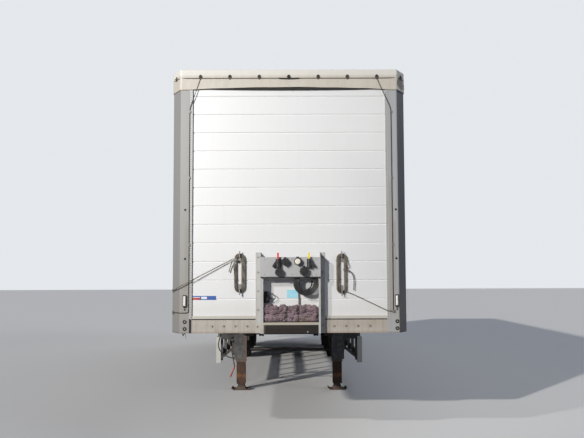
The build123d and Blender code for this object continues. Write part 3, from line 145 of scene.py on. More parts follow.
# Shared effects: weathering stains a colour in patches and in runs down the surface, grain is a fine
# bump for paint, plastic and cast surfaces, and a zone marks what lies between two corners.
def new_group(name, inputs, outputs):
    """A node group with named sockets: its tree, what it is given, and the inputs of its end."""
    tree = bpy.data.node_groups.new(name, "ShaderNodeTree")
    for label, kind, value in inputs:
        socket = tree.interface.new_socket(name=label, in_out="INPUT", socket_type=f"NodeSocket{kind}")
        socket.default_value = value
    for label, kind in outputs.items():
        tree.interface.new_socket(name=label, in_out="OUTPUT", socket_type=f"NodeSocket{kind}")
    return tree, tree.nodes.new("NodeGroupInput").outputs, tree.nodes.new("NodeGroupOutput").inputs


def calculate(tree, operation, *terms, **settings):
    return add_node(tree, "ShaderNodeMath", "Value", dict(enumerate(terms)), operation=operation, **settings)


def calculate_vector(tree, operation, *terms):
    return add_node(tree, "ShaderNodeVectorMath", "Vector", dict(enumerate(terms)), operation=operation)


weathering, given, result = new_group("weathering", [
    ("Color", "Color", (0.8, 0.8, 0.8, 1)),
    ("Dirt", "Color", (0.3, 0.27, 0.23, 1)),
    ("Patches", "Float", 0.3),
    ("Runs", "Float", 0.3),
    ("Scale", "Float", 3.0),
], {"Color": "Color", "Dirtiness": "Float"})
place = add_node(weathering, "ShaderNodeTexCoord", "Object", {})
stretched = calculate_vector(weathering, "MULTIPLY", place, (9, 9, 0.45))
stains = []
# columns: where, detail, roughness, noise where it begins and is full, its amount
for where, detail, rough, low, high, amount in (
    (place, 8, 0.65, 0.44, 0.74, given["Patches"]),
    (stretched, 6, 0.60, 0.46, 0.78, given["Runs"]),
):
    cloud = {"Vector": where, "Scale": given["Scale"], "Detail": detail, "Roughness": rough}
    cloud = add_node(weathering, "ShaderNodeTexNoise", "Fac", cloud)
    share = {"Value": cloud, "From Min": low, "From Max": high}
    share = add_node(weathering, "ShaderNodeMapRange", "Result", share)
    stains.append(calculate(weathering, "MULTIPLY", share, amount))
dirtiness = calculate(weathering, "ADD", *stains, use_clamp=True)
stained = {"Factor": dirtiness, "A": given["Color"], "B": given["Dirt"]}
stained = add_node(weathering, "ShaderNodeMix", "Result", stained, data_type="RGBA")
feed(result, {"Color": stained, "Dirtiness": dirtiness})

grain_group, given, result = new_group("grain", [
    ("Scale", "Float", 300.0),
    ("Strength", "Float", 0.2),
    ("Depth", "Float", 0.001),
], {"Normal": "Vector"})
place = add_node(grain_group, "ShaderNodeTexCoord", "Object", {})
fine = {"Vector": place, "Scale": given["Scale"], "Detail": 4}
fine = add_node(grain_group, "ShaderNodeTexNoise", "Fac", fine)
bump = {"Strength": given["Strength"], "Distance": given["Depth"], "Height": fine}
feed(result, {"Normal": add_node(grain_group, "ShaderNodeBump", "Normal", bump)})

zone, given, result = new_group("zone", [
    ("Low", "Vector", (0, 0, 0)),
    ("High", "Vector", (0, 0, 0)),
    ("Soft", "Float", 0.002),
    ("Broken", "Float", 0.0),
], {"Mask": "Float"})
place = add_node(zone, "ShaderNodeTexCoord", "Object", {})
above = calculate_vector(zone, "SUBTRACT", place, given["Low"])
below = calculate_vector(zone, "SUBTRACT", given["High"], place)
least = add_node(zone, "ShaderNodeSeparateXYZ", None, {"Vector": calculate_vector(zone, "MINIMUM", above, below)})
inside = calculate(zone, "MINIMUM", calculate(zone, "MINIMUM", least["X"], least["Y"]), least["Z"])
edge_noise = add_node(zone, "ShaderNodeTexNoise", "Fac", {"Vector": place, "Scale": 14, "Detail": 6})
edge_noise = calculate(zone, "MULTIPLY_ADD", edge_noise, -1.0, 0.42)
inside = calculate(zone, "MULTIPLY_ADD", edge_noise, given["Broken"], inside)
feed(result, {"Mask": calculate(zone, "DIVIDE", inside, given["Soft"], use_clamp=True)})


def coated(name, color, dirt, patches, runs, scale, roughness, metallic=0.0, grain=300.0, bump=0.15):
    """Paint, plating, plastic or cloth with weathering over it and a fine grain."""
    material = new_material(name)
    tree = material.node_tree
    worn = {"Color": (*color, 1), "Dirt": (*dirt, 1), "Patches": patches, "Runs": runs, "Scale": scale}
    worn = add_node(tree, "ShaderNodeGroup", None, worn, node_tree=weathering)
    rough = {"Value": worn["Dirtiness"], "To Min": roughness, "To Max": min(1.0, roughness + 0.35)}
    rough = add_node(tree, "ShaderNodeMapRange", "Result", rough)
    fine = {"Scale": grain, "Strength": bump, "Depth": 0.001}
    fine = add_node(tree, "ShaderNodeGroup", "Normal", fine, node_tree=grain_group)
    feed(shader_of(material), {"Base Color": worn["Color"], "Roughness": rough, "Metallic": metallic, "Normal": fine})
    return material


def cover(material, color, mask):
    """Lays a colour over what the material already has, by a mask."""
    base = shader_of(material)["Base Color"]
    layers = {"Factor": mask, "A": base.links[0].from_socket, "B": (*color, 1)}
    layers = add_node(material.node_tree, "ShaderNodeMix", "Result", layers, data_type="RGBA")
    feed(shader_of(material), {"Base Color": layers})


def tint(material, low, high, color, soft, strength, broken=0.0):
    """Colours what lies between two corners."""
    box = {"Low": low, "High": high, "Soft": soft, "Broken": broken}
    mask = add_node(material.node_tree, "ShaderNodeGroup", "Mask", box, node_tree=zone)
    cover(material, color, calculate(material.node_tree, "MULTIPLY", mask, strength))


# Front wall: twelve white coated planks over a folded foot rail, in semi-gloss paint.
# Thin grime lies along each joint, a pale band of painted light in each groove takes out its shade, and a yellowish
# film lies at the wall's foot.
def band(material, low, high, color, soft, strength, broken=0.0):
    """Colours a level band right across the front."""
    tint(material, (-2, -9, low), (2, -6, high), color, soft, strength, broken)


def paint(material, *names):
    """Puts a material on nodes of the frame."""
    for name in names:
        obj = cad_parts[name]
        if not obj.material_slots:
            obj.data.materials.append(material)
        for slot in obj.material_slots:
            slot.material = material


wall_paint = coated("wall_paint", (0.70, 0.705, 0.71), (0.46, 0.43, 0.38), 0.06, 0.07, 2.0, 0.40, grain=140)
feed(shader_of(wall_paint), {"IOR": 1.85, "Specular IOR Level": 0.9})
band(wall_paint, 1.29, 1.52, (0.60, 0.565, 0.50), 0.16, 0.45)
# Painted shade: the wall's right part below 3.2 m is greyed, as where the light falls off.
tint(wall_paint, (0.45, -9, 1.29), (2, -6, 3.2), (0.60, 0.60, 0.61), 0.5, 0.5)
band(wall_paint, 1.29, 1.345, (0.43, 0.39, 0.33), 0.012, 0.8)
plank_high = 0.199
for joint in range(11):
    joint_z = 1.514 + plank_high * joint
    grime = 0.13 if joint < 3 else 0.03
    band(wall_paint, joint_z - 0.012, joint_z + 0.003, (0.47, 0.46, 0.44), 0.006, grime)
    # Painted light: a pale band in each groove lightens away the groove's shade.
    band(wall_paint, joint_z - 0.0045, joint_z + 0.0015, (0.90, 0.90, 0.90), 0.0015, 0.6)
paint(wall_paint, "front_wall")


# Marks on the wall: a blue bar with a red and a white block beside it, and a pale blue plate.
# They are thin films on the planks' face and stay blank.
def mark_faces(verts, slot, smooth=lambda face: False):
    """Sets the material and shading of the faces that were just made."""
    for face in {face for vert in verts for face in vert.link_faces}:
        face.material_index = slot
        face.smooth = smooth(face)


def box_into(mesh, corner, opposite, slot=0):
    """Adds a box between any two opposite corners."""
    low = Vector(map(min, corner, opposite))
    high = Vector(map(max, corner, opposite))
    matrix = Matrix.Translation((low + high) / 2) @ Matrix.Diagonal((*(high - low), 1))
    mark_faces(bmesh.ops.create_cube(mesh, size=1, matrix=matrix)["verts"], slot)


def finish_mesh(name, mesh, materials):
    """Turns a bmesh into mesh data with its materials."""
    data = bpy.data.meshes.new(name)
    bmesh.ops.recalc_face_normals(mesh, faces=mesh.faces)
    mesh.to_mesh(data)
    mesh.free()
    for material in materials:
        data.materials.append(material)
    return data


def finish_piece(name, mesh, materials, body="trailer", replaced=(), bevel=0.0):
    """Turns a bmesh into an object that rides on a body."""
    obj = new_object(name, finish_mesh(name, mesh, materials))
    if bevel:
        edges = obj.modifiers.new("edges", "BEVEL")
        edges.width = bevel
        edges.segments = 2
        edges.limit_method = "ANGLE"
    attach(obj, body)
    if replaced:
        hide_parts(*replaced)
    return obj


films = [
    coated("film_blue", (0.035, 0.10, 0.36), (0.3, 0.32, 0.36), 0.2, 0.1, 14, 0.4),
    coated("film_red", (0.45, 0.05, 0.05), (0.4, 0.3, 0.3), 0.2, 0.1, 14, 0.4),
    coated("film_white", (0.72, 0.74, 0.76), (0.4, 0.4, 0.4), 0.1, 0.1, 14, 0.4),
    coated("film_pale", (0.28, 0.62, 0.76), (0.55, 0.7, 0.75), 0.5, 0.1, 26, 0.35),
]
plank_face = front_y + 0.015
marks = bmesh.new()
# columns: left, right, bottom, top, how far its face and its back stand off, material
for left, right, low, high, face, back, slot in (
    (-1.037, -0.954, 1.508, 1.532, 0.0012, 0, 1),
    (-1.037, -0.954, 1.532, 1.538, 0.0012, 0, 2),
    (-1.037, -0.954, 1.538, 1.550, 0.0012, 0, 0),
    (-0.954, -0.783, 1.508, 1.550, 0.0012, 0, 0),
    (-0.026, 0.111, 1.526, 1.611, 0.0012, 0, 3),
    (-0.940, -0.880, 1.517, 1.541, 0.0018, 0.0011, 2),
):
    box_into(marks, (left, plank_face - face, low), (right, plank_face - back, high), slot)
finish_piece("wall_marks", marks, films)


# Corner pillars: folded steel in a grey coat, scuffed, with light runs under the holes.
# A perforated strip lies along each inner edge, and rings, a slot and a hook sit near the foot.
def skin(mesh, rows, closed=False, looped=False, ends=False, smooth=True, slot=0):
    """Joins rows of points with faces. Closed rows go all round, and looped ones end where they began."""
    rows = [[mesh.verts.new(point) for point in row] for row in rows]
    count = len(rows[0])
    for a, b in zip(rows, rows[1:] + rows[:1] if looped else rows[1:]):
        for k in range(count if closed else count - 1):
            after = (k + 1) % count
            face = mesh.faces.new((a[k], b[k], b[after], a[after]))
            face.smooth = smooth
            face.material_index = slot
    if ends:
        mesh.faces.new(rows[0])
        mesh.faces.new(rows[-1][::-1])


def rod_into(mesh, start, end, radius, sides=24, slot=0, end_radius=None):
    """Adds a round bar from one point to another."""
    start = Vector(start)
    end = Vector(end)
    turn = (end - start).to_track_quat("Z", "Y").to_matrix().to_4x4()
    rod = bmesh.ops.create_cone(mesh, cap_ends=True, segments=sides, radius1=radius, radius2=end_radius or radius,
                                depth=(end - start).length, matrix=Matrix.Translation((start + end) / 2) @ turn)
    mark_faces(rod["verts"], slot, lambda face: len(face.verts) == 4 and sides > 8)


def ring_into(mesh, middle, axis, radius, thick, sides=28, slot=0, stretch=1.0):
    """Adds a round ring, stretched upwards if wanted."""
    turn = Vector(axis).to_track_quat("Z", "Y").to_matrix()
    loops = []
    for i in range(sides):
        around = 2 * math.pi * i / sides
        loop = []
        for j in range(8):
            angle = 2 * math.pi * j / 8
            flat = radius + thick * math.cos(angle)
            point = turn @ Vector((flat * math.cos(around), flat * math.sin(around), thick * math.sin(angle)))
            point.z *= stretch
            loop.append(Vector(middle) + point)
        loops.append(loop)
    skin(mesh, loops, closed=True, looped=True, slot=slot)


pillar_paint = coated("pillar_paint", (0.315, 0.315, 0.310), (0.27, 0.25, 0.22), 0.28, 0.5, 2.4, 0.42, 0.25, grain=180)
# Painted shade: the right pillar's outer bevel, which faces away from the key light, is darkened.
tint(pillar_paint, (1.165, -9, 0), (1.3, -6.4, 4), (0.15, 0.150, 0.156), 0.01, 0.9)
tint(pillar_paint, (0.9, -9, 0), (1.166, -6.4, 4), (0.40, 0.41, 0.42), 0.01, 0.9)
band(pillar_paint, 1.1, 1.75, (0.33, 0.28, 0.22), 0.5, 0.45)
band(pillar_paint, 1.1, 1.172, (0.16, 0.10, 0.06), 0.012, 0.5)
tint(pillar_paint, (-1.125, -9, 1.60), (-1.078, -6, 2.35), (0.30, 0.235, 0.17), 0.03, 0.6, 0.02)
tint(pillar_paint, (1.112, -9, 1.60), (1.150, -6, 2.35), (0.30, 0.235, 0.17), 0.03, 0.7, 0.02)
tint(pillar_paint, (1.045, -9, 1.36), (1.12, -6, 2.80), (0.36, 0.30, 0.23), 0.03, 0.4, 0.03)
paint(pillar_paint, "front_pillars")

strip_steel = coated("strip_steel", (0.52, 0.52, 0.51), (0.34, 0.31, 0.27), 0.3, 0.4, 4, 0.4, 0.4)
hole_pitch = 0.026
hole_radius = 0.0036
hole_middles = 1.053
tree = strip_steel.node_tree
place = add_node(tree, "ShaderNodeTexCoord", "Object", {})
parts = add_node(tree, "ShaderNodeSeparateXYZ", None, {"Vector": place})
across = calculate(tree, "SUBTRACT", calculate(tree, "ABSOLUTE", parts["X"]), hole_middles)
along = calculate(tree, "PINGPONG", parts["Z"], hole_pitch / 2)
far = add_node(tree, "ShaderNodeCombineXYZ", "Vector", {"X": across, "Y": along})
far = add_node(tree, "ShaderNodeVectorMath", "Value", {0: far}, operation="LENGTH")
hole = {"Value": far, "From Min": hole_radius, "From Max": hole_radius + 0.0012, "To Min": 1, "To Max": 0}
# Painted shade: the strip's holes are dark dots, for the dark inside them.
cover(strip_steel, (0.05, 0.05, 0.055), add_node(tree, "ShaderNodeMapRange", "Result", hole))
strips = bmesh.new()
for side in (-1, 1):
    box_into(strips, (side * 1.041, front_y - 0.0016, 1.30), (side * 1.066, front_y, 3.775))
finish_piece("perforated_strips", strips, [strip_steel])

dark_steel = coated("dark_steel", (0.055, 0.053, 0.050), (0.16, 0.12, 0.09), 0.5, 0.2, 18, 0.5, 0.5)
black_rubber = coated("black_rubber", (0.012, 0.012, 0.012), (0.06, 0.055, 0.05), 0.3, 0.1, 30, 0.7)
grommet_steel = coated("grommet_steel", (0.36, 0.32, 0.26), (0.16, 0.11, 0.07), 0.5, 0.1, 40, 0.5, 0.5)
pillar_middles = (-1.114, 1.145)
fittings = bmesh.new()
for x in pillar_middles:
    for z in (1.202, 1.276):
        ring_into(fittings, (x, front_y - 0.001, z), (0, -1, 0), 0.0155, 0.0052, 32, 1)
        rod_into(fittings, (x, front_y + 0.004, z), (x, front_y + 0.0005, z), 0.0085, 16, 2)
    for z in (1.944, 2.469):
        rod_into(fittings, (x, front_y + 0.006, z), (x, front_y + 0.0006, z), 0.0108, 20, 1)
        ring_into(fittings, (x, front_y - 0.0003, z), (0, -1, 0), 0.0112, 0.0012, 28, 1)
    box_into(fittings, (x - 0.013, front_y - 0.007, 1.4225), (x + 0.013, front_y, 1.4335), 1)
    rod_into(fittings, (x, front_y, 1.4045), (x, front_y - 0.006, 1.4045), 0.0105, 4, 1)
# Painted shade: a thin black box on the left pillar stands for the dark slot near its foot.
box_into(fittings, (-1.0675, front_y - 0.0020, 1.157), (-1.0440, front_y + 0.0015, 1.3055), 1)
hook_y = front_y + 0.012
# columns: from x and z, to x and z, radius
for x0, z0, x1, z1, radius in (
    (-1.143, 1.162, -1.130, 1.131, 0.0048),
    (-1.130, 1.131, -1.113, 1.160, 0.0048),
    (-1.113, 1.160, -1.105, 1.141, 0.0024),
    (-1.105, 1.141, -1.099, 1.100, 0.0020),
):
    rod_into(fittings, (x0, hook_y, z0), (x1, hook_y, z1), radius, 12)
finish_piece("pillar_fittings", fittings, [dark_steel, black_rubber, grommet_steel])


# Sill: folded steel under the wall in worn grey paint, rusty at its lower edge, with eight bolts.
# The bolts are dirty zinc, four each side of the bracket, and a black strip over the sill is painted shade in the gap
# below the wall's foot rail.
def bolt_into(mesh, x, y, z, radius):
    """Adds a hexagon bolt with a washer on a face that looks forwards."""
    # columns: from and to before the face, thickness and sides, all in radii
    for start, end, girth, sides in ((0, 0.22, 1.45, 20), (0.2, 0.95, 1, 6), (0.95, 1.2, 0.5, 12)):
        rod_into(mesh, (x, y - radius * start, z), (x, y - radius * end, z), radius * girth, sides)


sill_paint = coated("sill_paint", (0.43, 0.405, 0.365), (0.25, 0.19, 0.14), 0.45, 0.55, 3.5, 0.55, grain=120)
tint(sill_paint, (0.2, -9, 1.1), (2, -6, 1.4), (0.28, 0.225, 0.18), 0.3, 0.7)
band(sill_paint, 1.1, 1.182, (0.19, 0.12, 0.075), 0.03, 0.55)
paint(sill_paint, "front_sill")
zinc = coated("zinc", (0.40, 0.39, 0.37), (0.20, 0.14, 0.09), 0.5, 0.2, 30, 0.45, 0.7)
sill_bolts_and_gap_shade = bmesh.new()
for x in (-0.823, -0.701, -0.579, -0.452, 0.472, 0.599, 0.727, 0.854):
    bolt_into(sill_bolts_and_gap_shade, x, front_y, 1.230, 0.0095)
# Painted shade: a black strip fills the gap between the wall's foot rail and the sill, each side of the bracket.
for left, right in ((-1.044, -0.362), (0.380, 1.040)):
    box_into(sill_bolts_and_gap_shade, (left, front_y + 0.0008, 1.2945), (right, front_y + 0.0120, 1.3065), 1)
finish_piece("sill_bolts_and_gap_shade", sill_bolts_and_gap_shade, [zinc, black_rubber])


# Coupling bracket: folded sheet in grey paint, paler cheeks and shelf edge, and a near-black front lip that is rusty
# and darkened with painted shade.
# Bolts hold its feet to the wall, and a black strip under its panel is painted shade, for the panel's shadow and the
# dark opening below it.
bracket_paint = coated("bracket_paint", (0.44, 0.44, 0.43), (0.26, 0.22, 0.18), 0.22, 0.3, 4, 0.5, 0.1, grain=160)
# columns: low corner, high corner, colour, soft edge, strength, broken edge
for stain in (
    ((-0.31, -6.90, 1.752), (0.328, -6.88, 1.958), (0.40, 0.405, 0.41), 0.003, 0.85),
    # Below the shelf's edge the lip is near black: rust, and painted shade for the recess under the shelf.
    ((-0.276, -6.9, 1.10), (0.308, -6.80, 1.250), (0.010, 0.007, 0.005), 0.006, 1.0),
    ((-0.276, -6.9, 1.20), (0.150, -6.80, 1.250), (0.040, 0.023, 0.013), 0.03, 0.4, 0.04),
    ((-0.277, -6.9, 1.247), (0.309, -6.76, 1.275), (0.40, 0.355, 0.28), 0.004, 0.85),
    ((-0.37, -6.9, 1.10), (-0.25, -6.7, 1.27), (0.40, 0.33, 0.25), 0.05, 0.5),
    ((-0.315, -6.9, 1.10), (-0.270, -6.86, 1.205), (0.30, 0.15, 0.07), 0.03, 0.4),
):
    tint(bracket_paint, *stain)
paint(bracket_paint, "connection_bracket")
black_plastic_and_shade = coated("black_plastic_and_shade", (0.018, 0.018, 0.019), (0.09, 0.08, 0.075), 0.3, 0.1, 20, 0.7)
bracket_bits = bmesh.new()
# Painted shade: a black strip under the panel, for its shadow and the dark opening below it.
box_into(bracket_bits, (-0.302, front_y - 0.1215, 1.7405), (0.320, front_y - 0.094, 1.7518), 1)
for z in (1.40, 1.60, 1.80, 1.96):
    for x in (-0.335, 0.353):
        bolt_into(bracket_bits, x, front_y + 0.009, z, 0.0075)
for x, y, z in ((0.3435, -0.006, 1.242), (0.3640, -0.006, 1.2435), (-0.343, -0.006, 1.225), (-0.325, 0.009, 1.290)):
    bolt_into(bracket_bits, x, front_y + y, z, 0.0075)
for x in (-0.262, 0.026, 0.280):
    for z in (1.776, 1.936):
        rod_into(bracket_bits, (x, front_y - 0.120, z), (x, front_y - 0.1232, z), 0.0062, 16)
rod_into(bracket_bits, (0.190, front_y - 0.1000, 1.174), (0.190, front_y - 0.1040, 1.174), 0.0085, 16)
finish_piece("bracket_fixings_and_shade", bracket_bits, [zinc, black_plastic_and_shade])


# Air couplings and sockets: cast and moulded black heads on the panel, scuffed and dusty.
# A red and a yellow handle mark the couplings, and one round lid is white.
head_cast = coated("head_cast", (0.018, 0.018, 0.019), (0.10, 0.095, 0.09), 0.35, 0.1, 25, 0.42, grain=260, bump=0.3)
tint(head_cast, (-0.135, -7, 1.9395), (-0.105, -6.5, 2.01), (0.62, 0.012, 0.015), 0.002, 1.0)
tint(head_cast, (0.190, -7, 1.9395), (0.225, -6.5, 2.01), (0.80, 0.58, 0.02), 0.002, 1.0)
paint(head_cast, "coupling_heads")
socket_black = (0.016, 0.016, 0.017)
paint(coated("socket_plastic", socket_black, (0.11, 0.10, 0.095), 0.3, 0.1, 25, 0.38, grain=260, bump=0.3), "sockets")
lid_white = coated("lid_white", (0.76, 0.72, 0.63), (0.30, 0.26, 0.20), 0.4, 0.1, 30, 0.45)
coupling_bits = bmesh.new()
panel_face = front_y - 0.120
lid = panel_face - 0.045
# columns: place across, level, radius, lid's material
for x, z, radius, slot in (
    (-0.046, 1.906, 0.037, 0),
    (0.086, 1.911, 0.037, 1),
    (-0.110, 1.797, 0.042, 0),
    (0.152, 1.806, 0.046, 0),
):
    pin_y = lid + 0.018
    pin_z = z + radius + 0.008
    ring_into(coupling_bits, (x, lid + 0.003, z), (0, -1, 0), radius * 0.80, 0.0032, 32, slot)
    box_into(coupling_bits, (x - 0.011, lid + 0.004, z + radius * 0.72), (x + 0.011, lid + 0.030, z + radius + 0.012))
    rod_into(coupling_bits, (x - 0.015, pin_y, pin_z), (x + 0.015, pin_y, pin_z), 0.005, 12)
    box_into(coupling_bits, (x - 0.008, lid, z - radius - 0.006), (x + 0.008, lid + 0.010, z - radius * 0.75))
    for degrees in (45, 135, 225, 315):
        u = x + radius * 1.12 * math.cos(math.radians(degrees))
        w = z + radius * 1.12 * math.sin(math.radians(degrees))
        rod_into(coupling_bits, (u, panel_face, w), (u, panel_face - 0.004, w), 0.0045, 6, 2)
for start, end, tip in ((0.0440, 0.0462, 0.030), (0.0462, 0.0478, 0.022)):
    rod_into(coupling_bits, (0.086, panel_face - start, 1.911), (0.086, panel_face - end, 1.911), 0.030, 8, 1, tip)
for x in (-0.120, 0.207):
    ring_into(coupling_bits, (x, panel_face - 0.010, 1.885), (0, -1, 0), 0.0215, 0.004, 28, 2)
    for z in (1.852, 1.902):
        ring_into(coupling_bits, (x, panel_face - 0.0262, z), (0, 0, 1), 0.0242, 0.003)
    rod_into(coupling_bits, (x, panel_face - 0.026, 1.938), (x, panel_face - 0.026, 1.9395), 0.020, 24, 2)
finish_piece("coupling_details", coupling_bits, [head_cast, lid_white, zinc], bevel=0.0012)


# Front cap: PVC-coated tarpaulin over the wall's head and round both bevelled corners.
# It is one sewn sheet that arches up in the middle, held by eyelets, loops and a long seal cord, and a black strip
# under the arch is painted shade.
cap_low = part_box("front_cap")[0]
cap_off = 0.0058
cap_turn_z = 3.9905
cap_turn = 0.0075
cap_back = front_y + 0.235
corner_x = 1.17
bevel_turn = math.atan2(0.180, 0.100)
half_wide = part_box("rear_portal")[1].x
pillar_out = half_wide - 0.0053


def cap_outline(grow):
    """The cap's line in plan, from its left end to its right end, moved outwards by grow."""
    shift_front = grow * math.tan(bevel_turn / 2)
    shift_side = grow * math.tan((math.pi / 2 - bevel_turn) / 2)
    right = [
        (pillar_out - 0.100 + shift_front, front_y - grow),
        (pillar_out + grow, front_y + 0.180 - shift_side),
        (pillar_out + grow, cap_back),
    ]
    return [(-x, y) for x, y in reversed(right)] + right


def along_line(points, pitch):
    """Even steps along an open line, its corners kept: each point and its outward normal."""
    places = []
    for start, end in zip(map(Vector, points), map(Vector, points[1:])):
        steps = max(1, round((end - start).length / pitch))
        way = (end - start).normalized()
        out = Vector((way.y, -way.x))
        places += [(start.lerp(end, k / steps), out) for k in range(steps)]
    places.append((end, out))
    smooth = []
    for i, (point, out) in enumerate(places):
        near = places[max(i - 1, 0)][1] + out + places[min(i + 1, len(places) - 1)][1]
        smooth.append((point, near.normalized()))
    return smooth


cap_eyelets = (-0.957, -0.639, -0.320, -0.001, 0.319, 0.637, 0.955)


def cap_relief(x, z):
    """How far the sheet stands off at a place: soft ripples, pulls at the eyelets, a loose hem."""
    hem = max(0.0, 1 - (z - 3.765) / 0.12)
    middle = max(0.0, 1 - (x / 1.10) ** 2)
    relief = 0.0022 + 0.0016 * noise.noise((x * 5.2, z * 6.5, 1.7)) + 0.0011 * noise.noise((x * 17, z * 9, 4.1))
    relief += hem * middle * 0.012 + hem * 0.0022 * noise.noise((x * 9, 2.2, 0.4))
    for eyelet in cap_eyelets:
        gap = (x - eyelet) / 0.055
        relief -= 0.0016 * math.exp(-gap * gap - ((z - 3.905) / 0.035) ** 2)
    if x > 1.15:
        relief += 0.0046 * (noise.noise((x * 30, z * 42, 8.0)) + 0.5 * noise.noise((x * 70, z * 80, 3.0)))
    return max(0.0006, relief)


cap_columns = []
for point, out in along_line(cap_outline(cap_off), 0.0125):
    x, y = point
    hem_z = cap_low.z + 0.004 + 0.029 * max(0.0, 1 - (x / 1.12) ** 2) ** 0.8 + 0.003 * noise.noise((x * 4, 0, 0))
    if abs(x) > corner_x:
        hem_z = cap_low.z + 0.003 + 0.003 * noise.noise((x * 9, y * 9, 0))
    column = []
    for z in [hem_z, hem_z + 0.002] + [hem_z + (cap_turn_z - hem_z) * k / 22 for k in range(1, 23)]:
        fade = min(1.0, (cap_turn_z + 0.008 - z) / 0.02)
        column.append((*(point + out * cap_relief(x, z) * fade), z))
    for degrees in (30, 60, 90):
        ease = math.radians(degrees)
        spot = point - out * cap_turn * (1 - math.cos(ease))
        column.append((*spot, cap_turn_z + cap_turn * math.sin(ease)))
    spot_x = x * (1 - cap_turn / half_wide) if abs(x) > corner_x else x
    for k in range(1, 9):
        spot_y = y + cap_turn + (cap_back - y - cap_turn) * k / 8
        column.append((spot_x, spot_y, cap_turn_z + cap_turn + 0.0012 * noise.noise((x * 3, spot_y * 8, 6))))
    cap_columns.append(column)
cap = bmesh.new()
skin(cap, cap_columns)
cap_tarp = coated("cap_tarp", (0.50, 0.465, 0.41), (0.36, 0.31, 0.25), 0.20, 0.35, 2.6, 0.45, grain=900, bump=0.25)
band(cap_tarp, 3.7, 3.81, (0.50, 0.44, 0.36), 0.06, 0.45)
band(cap_tarp, 3.915, 4.1, (0.64, 0.625, 0.585), 0.03, 0.8)
# Painted light: the cap's right bevel, which faces away from the key light, is lightened to look lit.
tint(cap_tarp, (1.172, -9, 3.7), (1.3, -6.4, 4.1), (0.72, 0.68, 0.60), 0.01, 0.75)
tint(cap_tarp, (1.175, -9, 3.80), (1.3, -6.5, 3.97), (0.16, 0.11, 0.08), 0.012, 0.75, 0.16)
# Painted shade: a dark band along the hem's lower edge.
band(cap_tarp, 3.7, 3.787, (0.26, 0.20, 0.15), 0.012, 0.45, 0.03)
cap_piece = finish_piece("cap_tarpaulin", cap, [cap_tarp], replaced=["front_cap"])

# Painted shade: a black strip under the arched hem fills the dark gap between the hem and the wall.
seal_rubber_and_hem_shade = coated("seal_rubber_and_hem_shade", (0.014, 0.014, 0.015), (0.07, 0.06, 0.055), 0.3, 0.1, 12, 0.8)
hem_shade_half = 1.02
hem_shade_columns = []
for k in range(81):
    x = hem_shade_half * (k / 40 - 1)
    low = 3.7945 - 0.0205 * max(0.0, 1 - (x / hem_shade_half) ** 2) ** 0.5
    corners = ((-0.0045, 3.800), (-0.0052, low), (0.0095, low), (0.0095, 3.800))
    hem_shade_columns.append([(x, front_y + depth, z) for depth, z in corners])
cap_hem_shade = bmesh.new()
skin(cap_hem_shade, hem_shade_columns, closed=True, ends=True, smooth=False)
finish_piece("cap_hem_shade", cap_hem_shade, [seal_rubber_and_hem_shade])

eyelet_steel = coated("eyelet_steel", (0.13, 0.12, 0.11), (0.06, 0.05, 0.045), 0.5, 0.2, 40, 0.4, 0.8)
loops = bmesh.new()
bevel_x = pillar_out - 0.042
bevel_y = front_y + 0.086
# columns: place, the way that it faces, level
spots = [((x, front_y - cap_off - 0.0035), (0, -1), 3.914) for x in cap_eyelets]
spots.append(((-bevel_x, bevel_y), (-0.874, -0.486), 3.912))
spots.append(((bevel_x, bevel_y), (0.874, -0.486), 3.930))
for (x, y), (u, v), z in spots:
    out = Vector((u, v, 0))
    along = Vector((-v, u, 0))
    middle = Vector((x, y, z))
    ring_into(loops, middle, out, 0.0165, 0.0042, 28, 0, 1.30)
    rod_into(loops, middle - out * 0.001, middle + out * 0.0008, 0.0150, 24, 1)
    arch = []
    for k in range(13):
        angle = math.pi * k / 12
        arch.append(Vector((x, y, z - 0.002)) + along * 0.0095 * math.cos(angle) + out * 0.017 * math.sin(angle))
    for a, b in zip(arch, arch[1:]):
        rod_into(loops, a, b, 0.0034, 10)
    for foot in (arch[-1], arch[0]):
        rod_into(loops, foot, foot - Vector((0, 0, 0.019)), 0.0032, 10)
finish_piece("cap_eyelets", loops, [eyelet_steel, seal_rubber_and_hem_shade])


def lay_cord(name, points, diameter, material, *replaced):
    """A cord along a smooth line with a round section, bare if material is None. It rides on the trailer."""
    data = bpy.data.curves.new(name, "CURVE")
    data.dimensions = "3D"
    data.bevel_depth = diameter / 2
    data.bevel_resolution = 3
    data.use_fill_caps = True
    spline = data.splines.new("NURBS")
    spline.points.add(len(points) - 1)
    for point, place in zip(spline.points, points):
        point.co = (*place, 1)
    spline.order_u = 3
    spline.use_endpoint_u = True
    spline.resolution_u = 5
    if material:
        data.materials.append(material)
    obj = new_object(name, data)
    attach(obj, "trailer")
    if replaced:
        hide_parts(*replaced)
    return obj


def from_face(face, *points):
    """Points whose depth is given from a face."""
    return [(x, face + depth, z) for x, depth, z in points]


seal_cord = coated("seal_cord", (0.20, 0.18, 0.15), (0.08, 0.07, 0.06), 0.4, 0.1, 40, 0.7)
cord_points = [(-1.262, 0.150, 3.905), (-1.240, 0.092, 3.903), (-1.181, -0.0165, 3.902)]
for x in cap_eyelets:
    cord_points += [(x - 0.03, -0.0165, 3.9005), (x + 0.03, -0.0165, 3.9005)]
cord_points += [(1.179, -0.0165, 3.905), (1.240, 0.092, 3.912), (1.262, 0.150, 3.908)]
lay_cord("seal_cord", from_face(front_y, *cord_points), 0.0065, seal_cord)
sleeve_points = from_face(
    front_y, (-0.108, -0.017, 3.8985), (-0.05, -0.018, 3.8965), (0.03, -0.018, 3.8965), (0.108, -0.017, 3.8990))
lay_cord("seal_cord_sleeve", sleeve_points, 0.0125, seal_rubber_and_hem_shade)


